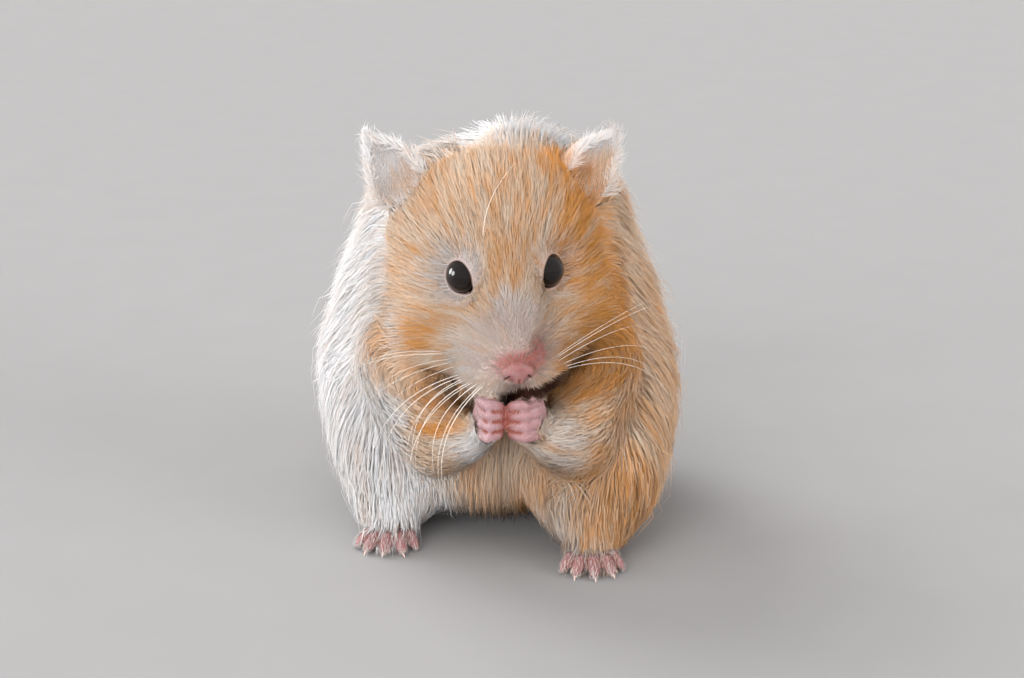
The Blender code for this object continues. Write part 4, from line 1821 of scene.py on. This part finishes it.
@dataclass
class Claws:
    """The small curved claws of the hind toes. Lengths are in mm."""

    toe_spread: float = 18.0  # degrees between neighbouring toes
    toes: int = 5
    length: float = 1.9
    radius: float = 0.42
    point: float = 0.05  # the radius of its point, and how near the floor it may lie
    arch: float = 0.22
    curl: float = 0.45
    sunk: float = 0.75  # how far its middle lies inside the toe
    fan_from: float = 8.5  # how far behind its front the foot's toes fan out from
    headings: tuple[tuple[str, float], ...] = (("hind_foot_left", 4.0), ("hind_foot_right", -8.0))

    def _tips(self, node: str, heading: float) -> list[tuple[Vector, Vector]]:
        """Finds the toes of a foot.

        Args:
            node: the foot's solid.
            heading: which way the foot points, in degrees from straight ahead.

        Returns:
            Where each toe ends, and which way it points.
        """
        points = points_of(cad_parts[node].data)
        low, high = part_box(node)
        middle = np.array([(low.x + high.x) / 2, low.y + self.fan_from * MM, 0.0])
        found = []
        for i in range(self.toes):
            fan = math.radians((i - (self.toes - 1) / 2) * self.toe_spread + heading)
            along = np.array([math.sin(fan), -math.cos(fan), 0.0])
            aside = np.array([along[1], -along[0], 0.0])
            offset = points - middle
            score = offset @ along - 1.2 * np.abs(offset @ aside)
            found.append((Vector(points[np.argmax(score)]), Vector(along)))
        return found

    def build(self, material: Material) -> None:
        """Makes the claws of each foot as one piece.

        Args:
            material: what they are made of.
        """
        for node, heading in self.headings:
            bm = bmesh.new()
            for tip, along in self._tips(node, heading):
                cone = bmesh.ops.create_cone(bm, cap_ends=True, segments=10, radius1=self.radius * MM,
                                             radius2=self.point * MM, depth=self.length * MM)
                long_edges = [e for e in {e for v in cone["verts"] for e in v.link_edges}
                              if abs(e.verts[0].co.z - e.verts[1].co.z) > 0.5 * MM]
                bmesh.ops.subdivide_edges(bm, edges=long_edges, cuts=4)
                new = [v for v in bm.verts if not v.tag]
                turn = UP.rotation_difference(along).to_matrix()
                for vertex in new:
                    vertex.tag = True
                    t = vertex.co.z / (self.length * MM) + 0.5
                    vertex.co = turn @ vertex.co
                    vertex.co.z += (self.arch * math.sin(math.pi * t) - self.curl * t * t) * MM
                    vertex.co += tip - along * self.sunk * MM
                    vertex.co.z = max(vertex.co.z, self.point * MM)
            mesh = mesh_from(f"claws_{node}", bm)
            mesh.shade_smooth()
            declare(link(mesh.name, mesh), material, Slot.SKIN)


# ---- shaders ----
@dataclass(frozen=True)
class Value:
    """A number on its way through a shader. Arithmetic on it adds Math nodes."""

    shader: "Shader"
    socket: Socket

    def _math(self, operation: str, *inputs: "Value | float") -> "Value":
        """What a Math node makes of these."""
        node = self.shader.node("ShaderNodeMath", {"operation": operation}, dict(enumerate(inputs)))
        return Value(self.shader, node.outputs[0])

    def __add__(self, other: "Value | float") -> "Value":
        """The sum."""
        return self._math("ADD", self, other)

    def __sub__(self, other: "Value | float") -> "Value":
        """The difference."""
        return self._math("SUBTRACT", self, other)

    def __rsub__(self, other: float) -> "Value":
        """The difference."""
        return self._math("SUBTRACT", other, self)

    def __mul__(self, other: "Value | float") -> "Value":
        """The product."""
        return self._math("MULTIPLY", self, other)

    def __pow__(self, other: float) -> "Value":
        """The power."""
        return self._math("POWER", self, other)

    __radd__ = __add__
    __rmul__ = __mul__


class Shader:
    """A material's node tree."""

    def __init__(self, name: str) -> None:
        """Starts an empty material.

        Args:
            name: the material's name.
        """
        self.material = bpy.data.materials.new(name)
        self.material.use_nodes = True
        self.tree = self.material.node_tree
        self.tree.nodes.clear()

    def node(self, kind: str, settings: dict[str, object] | None = None,
             inputs: dict[str | int, object] | None = None) -> bpy.types.Node:
        """Adds a node.

        Args:
            kind: its type.
            settings: properties of the node, which are set first.
            inputs: what each socket holds, or the value or socket that feeds it.

        Returns:
            The node.
        """
        node = self.tree.nodes.new(kind)
        for name, setting in (settings or {}).items():
            setattr(node, name, setting)
        for name, given in (inputs or {}).items():
            source = given.socket if isinstance(given, Value) else given
            if isinstance(source, Socket):
                self.tree.links.new(source, node.inputs[name])
            else:
                node.inputs[name].default_value = source
        return node

    def blend(self, factor: Value | float, first: object, second: object) -> Socket:
        """Adds a colour between two colours.

        Args:
            factor: how much of the second it has.
            first: the one, as a socket or as three numbers.
            second: the other.

        Returns:
            The colour.
        """
        first, second = ((*c, 1.0) if isinstance(c, tuple) and len(c) == 3 else c for c in (first, second))
        mix = self.node("ShaderNodeMix", {"data_type": "RGBA"}, {0: factor, 6: first, 7: second})
        return mix.outputs[2]

    def mixed(self, factor: Value | float, first: Socket, second: Socket) -> Socket:
        """A surface between two surfaces."""
        return self.node("ShaderNodeMixShader", inputs={0: factor, 1: first, 2: second}).outputs[0]

    def through(self, colour: Colour) -> Socket:
        """A surface that lets light through in one colour."""
        return self.node("ShaderNodeBsdfTranslucent", inputs={"Color": (*colour, 1.0)}).outputs[0]

    def scaled(self, colour: Socket | Colour, by: Value) -> Socket:
        """The colour made darker or lighter."""
        node = self.node("ShaderNodeVectorMath", {"operation": "SCALE"}, {0: colour, "Scale": by})
        return node.outputs[0]

    def attribute(self, name: str) -> tuple[Value, Value, Value, Value]:
        """Reads an attribute of the piece.

        Args:
            name: the attribute.

        Returns:
            Its four numbers.
        """
        source = self.node("ShaderNodeAttribute", {"attribute_name": name})
        apart = self.node("ShaderNodeSeparateColor", inputs={0: source.outputs["Color"]})
        red, green, blue = (Value(self, out) for out in apart.outputs)
        return red, green, blue, Value(self, source.outputs["Alpha"])

    def noise(self, scale: float, detail: float) -> Value:
        """Adds noise on Object coordinates.

        Args:
            scale: how many features it has to the metre.
            detail: how many finer layers it has.

        Returns:
            The noise, about 0.5.
        """
        place = self.node("ShaderNodeTexCoord").outputs["Object"]
        noise = self.node("ShaderNodeTexNoise", inputs={"Vector": place, "Scale": scale, "Detail": detail})
        return Value(self, noise.outputs["Fac"])

    def bump(self, height: Value, distance: float, strength: float) -> Socket:
        """A normal with this height on it, in metres."""
        inputs = {"Height": height, "Distance": distance, "Strength": strength}
        return self.node("ShaderNodeBump", inputs=inputs).outputs[0]

    def finish(self, surface: Socket) -> Material:
        """Sends the surface to the output."""
        self.node("ShaderNodeOutputMaterial", inputs={"Surface": surface})
        return self.material


@dataclass(frozen=True)
class HairFinish:
    """The coat's colours, and how its tufts take the light."""

    gold: Colour = (0.99, 0.79, 0.615)
    # the deeper gold, which on the left side also stands for painted shade
    deep: Colour = (0.97, 0.44, 0.115)
    white: Colour = (0.965, 0.960, 0.968)
    lilac: Colour = (0.66, 0.50, 0.45)
    shadow: Colour = (0.045, 0.016, 0.010)
    black: Colour = (0.0, 0.0, 0.0)
    root: float = 0.93  # how light a tuft's root is beside its tip: painted shade deep in the coat
    tone: float = 0.17  # how much darker the darkest tufts are
    white_tone: float = 0.8  # how much less the tone varies where the coat is white
    roughness: float = 0.62
    specular: float = 0.12
    glow: float = 0.5  # the share of the light that comes through the tufts
    ear_light: float = 0.22  # painted glow: emission that stands in for the light that comes through the thin ears

    def _layered(self, shader: Shader, plain: Callable, blend: Callable) -> Socket:
        """Lays the coat's markings over one another, with the painted shade of the roots and of the shaded
        places.

        Args:
            shader: the material to add to.
            plain: makes a layer of one colour.
            blend: lays the second layer over the first by a factor.

        Returns:
            The last layer.
        """
        along, tint, white, warm = shader.attribute(COAT_LAYER)
        blush, shade, _, _ = shader.attribute(BLUSH_SHADE_GLOW_LAYER)
        # painted shade: darker towards the root, where less light reaches into the coat
        depth = self.root + (1.0 - self.root) * along ** 0.7
        light = depth * (1.0 - self.tone * (1.0 - tint) * (1.0 - self.white_tone * white))
        layer = plain(self.gold)
        for factor, colour in ((warm, self.deep), (white, self.white), (blush, self.lilac),
                               (1.0 - light, self.black), (shade, self.shadow)):
            layer = blend(factor, layer, plain(colour))
        return layer

    def colour(self, shader: Shader) -> Socket:
        """The coat's colour from its markings and its painted shade."""
        return self._layered(shader, lambda colour: colour, shader.blend)

    def material(self) -> Material:
        """Makes the tufts' material.

        Returns:
            The material.
        """
        shader = Shader("hair")
        colour = self.colour(shader)
        # the painted glow of light through the thin ears
        _, _, ear, _ = shader.attribute(BLUSH_SHADE_GLOW_LAYER)
        hair = shader.node("ShaderNodeBsdfPrincipled", inputs={
            "Base Color": colour, "Roughness": self.roughness, "Specular IOR Level": self.specular,
            "Emission Color": shader.scaled(colour, ear), "Emission Strength": self.ear_light})
        through = self._layered(shader, shader.through, shader.mixed)
        return shader.finish(shader.mixed(self.glow, hair.outputs[0], through))


@dataclass(frozen=True)
class SkinFinish:
    """The bare skin's colours."""

    pink: Colour = (0.345, 0.22, 0.235)
    red: Colour = (0.205, 0.058, 0.045)
    # the dark of the lids' edges, and of the painted shade in the nostrils, the mouth and the creases between
    # the hind toes
    dark: Colour = (0.045, 0.018, 0.013)
    roughness: float = 0.5
    coated_roughness: float = 0.8
    mottle: float = 0.75

    def material(self, hair: HairFinish) -> Material:
        """Makes the skin's material: the coat's markings where hair grows, and pink where it is bare.

        Args:
            hair: the coat's colours.

        Returns:
            The material.
        """
        shader = Shader("skin")
        coat = hair.colour(shader)
        bare, red, dark, _ = shader.attribute(BARE_LAYER)
        blotch = shader.noise(650.0, 4.0)
        pink = shader.blend(red + self.mottle * (blotch - 0.5), self.pink, self.red)
        colour = shader.blend(dark, shader.blend(bare, coat, pink), self.dark)
        pores = shader.noise(2600.0, 3.0)
        skin = shader.node("ShaderNodeBsdfPrincipled", inputs={
            "Base Color": colour,
            "Roughness": self.coated_roughness + (self.roughness - self.coated_roughness) * bare,
            "Specular IOR Level": 0.25,
            "Normal": shader.bump(pores, 0.12 * MM, 0.6)})
        return shader.finish(skin.outputs[0])


@dataclass(frozen=True)
class EyeFinish:
    """A wet, nearly black eye."""

    dark: Colour = (0.0015, 0.001, 0.001)
    brown: Colour = (0.006, 0.003, 0.002)

    def material(self) -> Material:
        """Makes the eyes' material.

        Returns:
            The material.
        """
        shader = Shader("eye")
        colour = shader.blend(shader.noise(350.0, 2.0), self.dark, self.brown)
        eye = shader.node("ShaderNodeBsdfPrincipled", inputs={
            "Base Color": colour, "Roughness": 0.3, "Specular IOR Level": 0.05,
            "Coat Weight": 1.0, "Coat Roughness": 0.02, "Coat IOR": 1.40})
        return shader.finish(eye.outputs[0])


@dataclass(frozen=True)
class ThreadFinish:
    """The whiskers: pale and partly see-through."""

    pale: Colour = (0.93, 0.90, 0.86)
    dusky: Colour = (0.80, 0.74, 0.66)
    glow: float = 0.3  # the share of the light that comes through them

    def material(self) -> Material:
        """Makes the whiskers' material.

        Returns:
            The material.
        """
        shader = Shader("whisker")
        dull = shader.noise(160.0, 2.0)
        hair = shader.node("ShaderNodeBsdfPrincipled", inputs={
            "Base Color": shader.blend(dull, self.pale, self.dusky), "Roughness": 0.32,
            "Specular IOR Level": 0.6})
        through = shader.mixed(dull, shader.through(self.pale), shader.through(self.dusky))
        return shader.finish(shader.mixed(self.glow, hair.outputs[0], through))


@dataclass(frozen=True)
class ClawFinish:
    """Pale horn that is pink near the toe."""

    horn: Colour = (0.78, 0.66, 0.55)
    quick: Colour = (0.62, 0.34, 0.28)

    def material(self) -> Material:
        """Makes the claws' material.

        Returns:
            The material.
        """
        shader = Shader("claw")
        colour = shader.blend(shader.noise(900.0, 2.0), self.horn, self.quick)
        claw = shader.node("ShaderNodeBsdfPrincipled", inputs={"Base Color": colour, "Roughness": 0.35})
        return shader.finish(claw.outputs[0])


# ---- putting the finish on the skin ----
@dataclass
class Dressing:
    """Writes the markings, the painted shade and the bare skin's reds and darks on the skin."""

    skin: Skin
    groom: Groom
    markings: Markings
    crease_reach: float = 0.10  # mm of hollow that count as a deep crease
    root_level: float = 0.25  # how far along a tuft the skin takes its colour
    shade_under_coat: float = 0.38  # painted shade: how much darker the skin is than the coat that covers it
    ear_crease: float = 0.15  # of a crease elsewhere
    # how red the bare skin is: everywhere, then more or less in each of these places; in the creases and
    # between the hands the red is painted shade
    red: float = 0.16
    # painted shade: redder in the creases
    red_crease_shade: float = 0.9
    red_pad: float = 0.48
    # painted shade: redder where the hands meet
    red_around: float = 0.75
    red_flush: float = 0.7
    red_shade_between_hands: float = 0.75
    red_left_hand: float = 0.18
    red_foot: float = 0.46
    red_ear: float = -0.16

    def _creases(self) -> Array:
        """Finds the creases.

        Returns:
            From 0 on open skin to 1 in a deep crease, for each vertex.
        """
        deep = np.clip(self.skin.hollow / self.crease_reach, 0.0, 1.0)
        deep[self.skin.parts == Part.EAR.value] *= self.ear_crease
        return self.skin.neighbours.smooth(deep, 1)

    def _hands(self) -> Array:
        """True at the vertices of the forepaws, as far as their backs' upper edge."""
        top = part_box("forepaw_left")[1].z - 0.2 * MM
        return (self.skin.parts == Part.FOREPAW.value) & (self.skin.points[:, 2] < top)

    def _reds(self, crease: Array, hands: Array) -> Array:
        """Works out how red the bare skin is.

        Args:
            crease: how creased it is at each vertex.
            hands: which vertices are the forepaws'.

        Returns:
            From 0 to 1 for each vertex.
        """
        points, parts = self.skin.points, self.skin.parts
        # painted shade: the creases are redder
        red = self.red + self.red_crease_shade * crease
        pad, around = self.groom.nose.near(points)
        red += self.red_pad * pad + self.red_around * around * (1.0 - pad)
        red += self.red_flush * NOSE_FLUSH.weight(points) * (1.0 - pad)
        off_middle = np.abs(points[:, 0] / MM - HANDS_MEET)
        between = np.exp(-((off_middle / 1.1) ** 2))
        outer = smoothstep(2.6, 5.5, off_middle)
        left = points[:, 0] > HANDS_MEET * MM
        # painted shade: redder in the hands' creases and where the hands meet
        on_hands = crease * (0.8 - 2.2 * outer) + self.red_shade_between_hands * between + self.red_left_hand * left
        red += on_hands * hands
        red[parts == Part.HIND_FOOT.value] += self.red_foot
        red[parts == Part.EAR.value] += self.red_ear
        return np.clip(red, 0.0, 1.0)

    def _darks(self, crease: Array, hands: Array) -> Array:
        """Works out where the bare skin is dark: at the lids' edges, and with painted shade in the nostrils,
        the mouth and the creases between the hind toes.

        Args:
            crease: how creased it is at each vertex.
            hands: which vertices are the forepaws', which stay light.

        Returns:
            From 0 to 1 for each vertex.
        """
        points = self.skin.points
        dark = np.zeros(len(points))
        for eye in self.groom.eyes:
            dark = np.maximum(dark, eye.lid_margin(points, 1.06, 1.2))
        # painted shade in the nostrils and under the muzzle
        nose_and_mouth_shade = np.maximum(self.groom.nose.darkness(points), 0.9 * self.groom.nose.shade(points))
        dark = np.maximum(dark, nose_and_mouth_shade * ~hands)
        dark = np.maximum(dark, 0.4 * crease * (self.skin.parts == Part.HIND_FOOT.value))
        return np.clip(dark, 0.0, 1.0)

    def build(self, material: Material) -> None:
        """Args:
            material: what it is made of.
        """
        skin = self.skin
        crease, hands = self._creases(), self._hands()
        white, warm = self.markings.whiteness(skin.points), self.markings.warmth(skin.points)
        paint(skin.mesh, COAT_LAYER, self.root_level, 0.5, white, warm)
        # painted shade: the marked shade, and more where the coat covers the skin
        clear = (1.0 - self.markings.shade(skin.points)) * (1.0 - self.shade_under_coat * (1.0 - self.groom.bare))
        paint(skin.mesh, BLUSH_SHADE_GLOW_LAYER, self.groom.blush, 1.0 - clear, skin.ear)
        paint(skin.mesh, BARE_LAYER, self.groom.bare, self._reds(crease, hands), self._darks(crease, hands))
        declare(skin.piece, material, Slot.SKIN, *FLESH_NODES)


# ---- studio ----
@dataclass(frozen=True)
class Lamp:
    """A soft light from far away."""

    name: str
    way: Point  # towards the light
    spread: float  # degrees across
    strength: float
    mirrored: bool = False  # seen in reflections, and lighting nothing else


@dataclass
class Studio:
    """The floor, the lights and the camera."""

    target: Point = (0.0033, -0.0216, 0.0415)  # where the camera looks
    elevation: float = 16.5  # degrees, how far it looks down
    distance: float = 0.410
    lens: float = 50.0
    sensor: float = 23.6
    floor_size: float = 8.0
    floor_colour: Colour = (0.295, 0.289, 0.288)
    world_colour: Colour = (0.80, 0.79, 0.79)
    world_strength: float = 0.95
    lamps: tuple[Lamp, ...] = (
        Lamp("window_front", (-0.944, -0.168, 0.285), 19.0, 0.72),
        Lamp("window_back", (-0.934, 0.249, 0.255), 21.0, 0.78),
        Lamp("glint_front", (-0.934, -0.205, 0.292), 24.0, 2.3, True),
        Lamp("glint_back", (-0.920, 0.292, 0.262), 24.0, 2.2, True),
        Lamp("back", (-0.510, 0.629, 0.587), 37.0, 2.80),
        Lamp("top", (-0.124, -0.364, 0.923), 46.0, 0.40),
        Lamp("low", (-0.485, -0.870, 0.092), 57.0, 5.10),
        Lamp("side", (0.864, -0.477, 0.163), 41.0, 2.70),
    )

    def build(self) -> None:
        """Sets everything up."""
        self._floor()
        self._lights()
        self._camera()

    def _floor(self) -> None:
        """A plain pale floor with a faint unevenness."""
        bm = bmesh.new()
        bmesh.ops.create_grid(bm, x_segments=2, y_segments=2, size=self.floor_size)
        mesh = mesh_from("floor", bm)
        shader = Shader("floor")
        tone = 0.96 + 0.06 * shader.noise(60.0, 3.0)
        surface = shader.node("ShaderNodeBsdfPrincipled", inputs={
            "Base Color": shader.scaled(self.floor_colour, tone), "Roughness": 0.7,
            "Specular IOR Level": 0.1})
        mesh.materials.append(shader.finish(surface.outputs[0]))
        link("floor", mesh)

    def _lights(self) -> None:
        """The lamps, and soft light from all round."""
        for lamp in self.lamps:
            light = bpy.data.lights.new(lamp.name, "SUN")
            light.angle = math.radians(lamp.spread)
            light.energy = lamp.strength
            holder = bpy.data.objects.new(lamp.name, light)
            holder.rotation_euler = Vector(lamp.way).to_track_quat("Z", "Y").to_euler()
            holder.visible_glossy = lamp.mirrored
            holder.visible_diffuse = not lamp.mirrored
            bpy.context.scene.collection.objects.link(holder)
        world = bpy.data.worlds.new("studio")
        world.use_nodes = True
        sky = world.node_tree.nodes["Background"]
        sky.inputs["Color"].default_value = (*self.world_colour, 1.0)
        sky.inputs["Strength"].default_value = self.world_strength
        bpy.context.scene.world = world

    def _camera(self) -> None:
        """The camera, from its pitch and distance."""
        pitch = math.radians(self.elevation)
        target = Vector(self.target)
        camera = bpy.data.cameras.new("camera")
        camera.lens = self.lens
        camera.sensor_width = self.sensor
        camera.clip_start = 0.01
        holder = bpy.data.objects.new("camera", camera)
        holder.location = target + Vector((0.0, -math.cos(pitch), math.sin(pitch))) * self.distance
        holder.rotation_euler = (target - holder.location).to_track_quat("-Z", "Y").to_euler()
        bpy.context.scene.collection.objects.link(holder)
        bpy.context.scene.camera = holder
        bpy.context.scene.view_settings.view_transform = "Standard"


def main() -> None:
    """Builds the hamster and its studio."""
    logging.basicConfig(level=logging.INFO, format="%(name)s: %(message)s")
    head = HeadAxes()
    eyes = [Eye.of("eye_left", 1, head), Eye.of("eye_right", -1, head)]
    nose = Nose(head)
    skin = Skin(head, CoatDepth())
    groom = Groom(skin, head, eyes, nose)
    markings = Markings(head, eyes, nose)
    hair = HairFinish()
    Dressing(skin, groom, markings).build(SkinFinish().material(hair))
    eye_material = EyeFinish().material()
    for eye in eyes:
        eye.build(eye_material)
    Coat(skin, groom, markings, head).build(hair.material())
    Whiskers(skin).build(ThreadFinish().material())
    Claws().build(ClawFinish().material())
    Studio().build()
    bpy.context.view_layer.update()


if __name__ == "__main__":
    main()
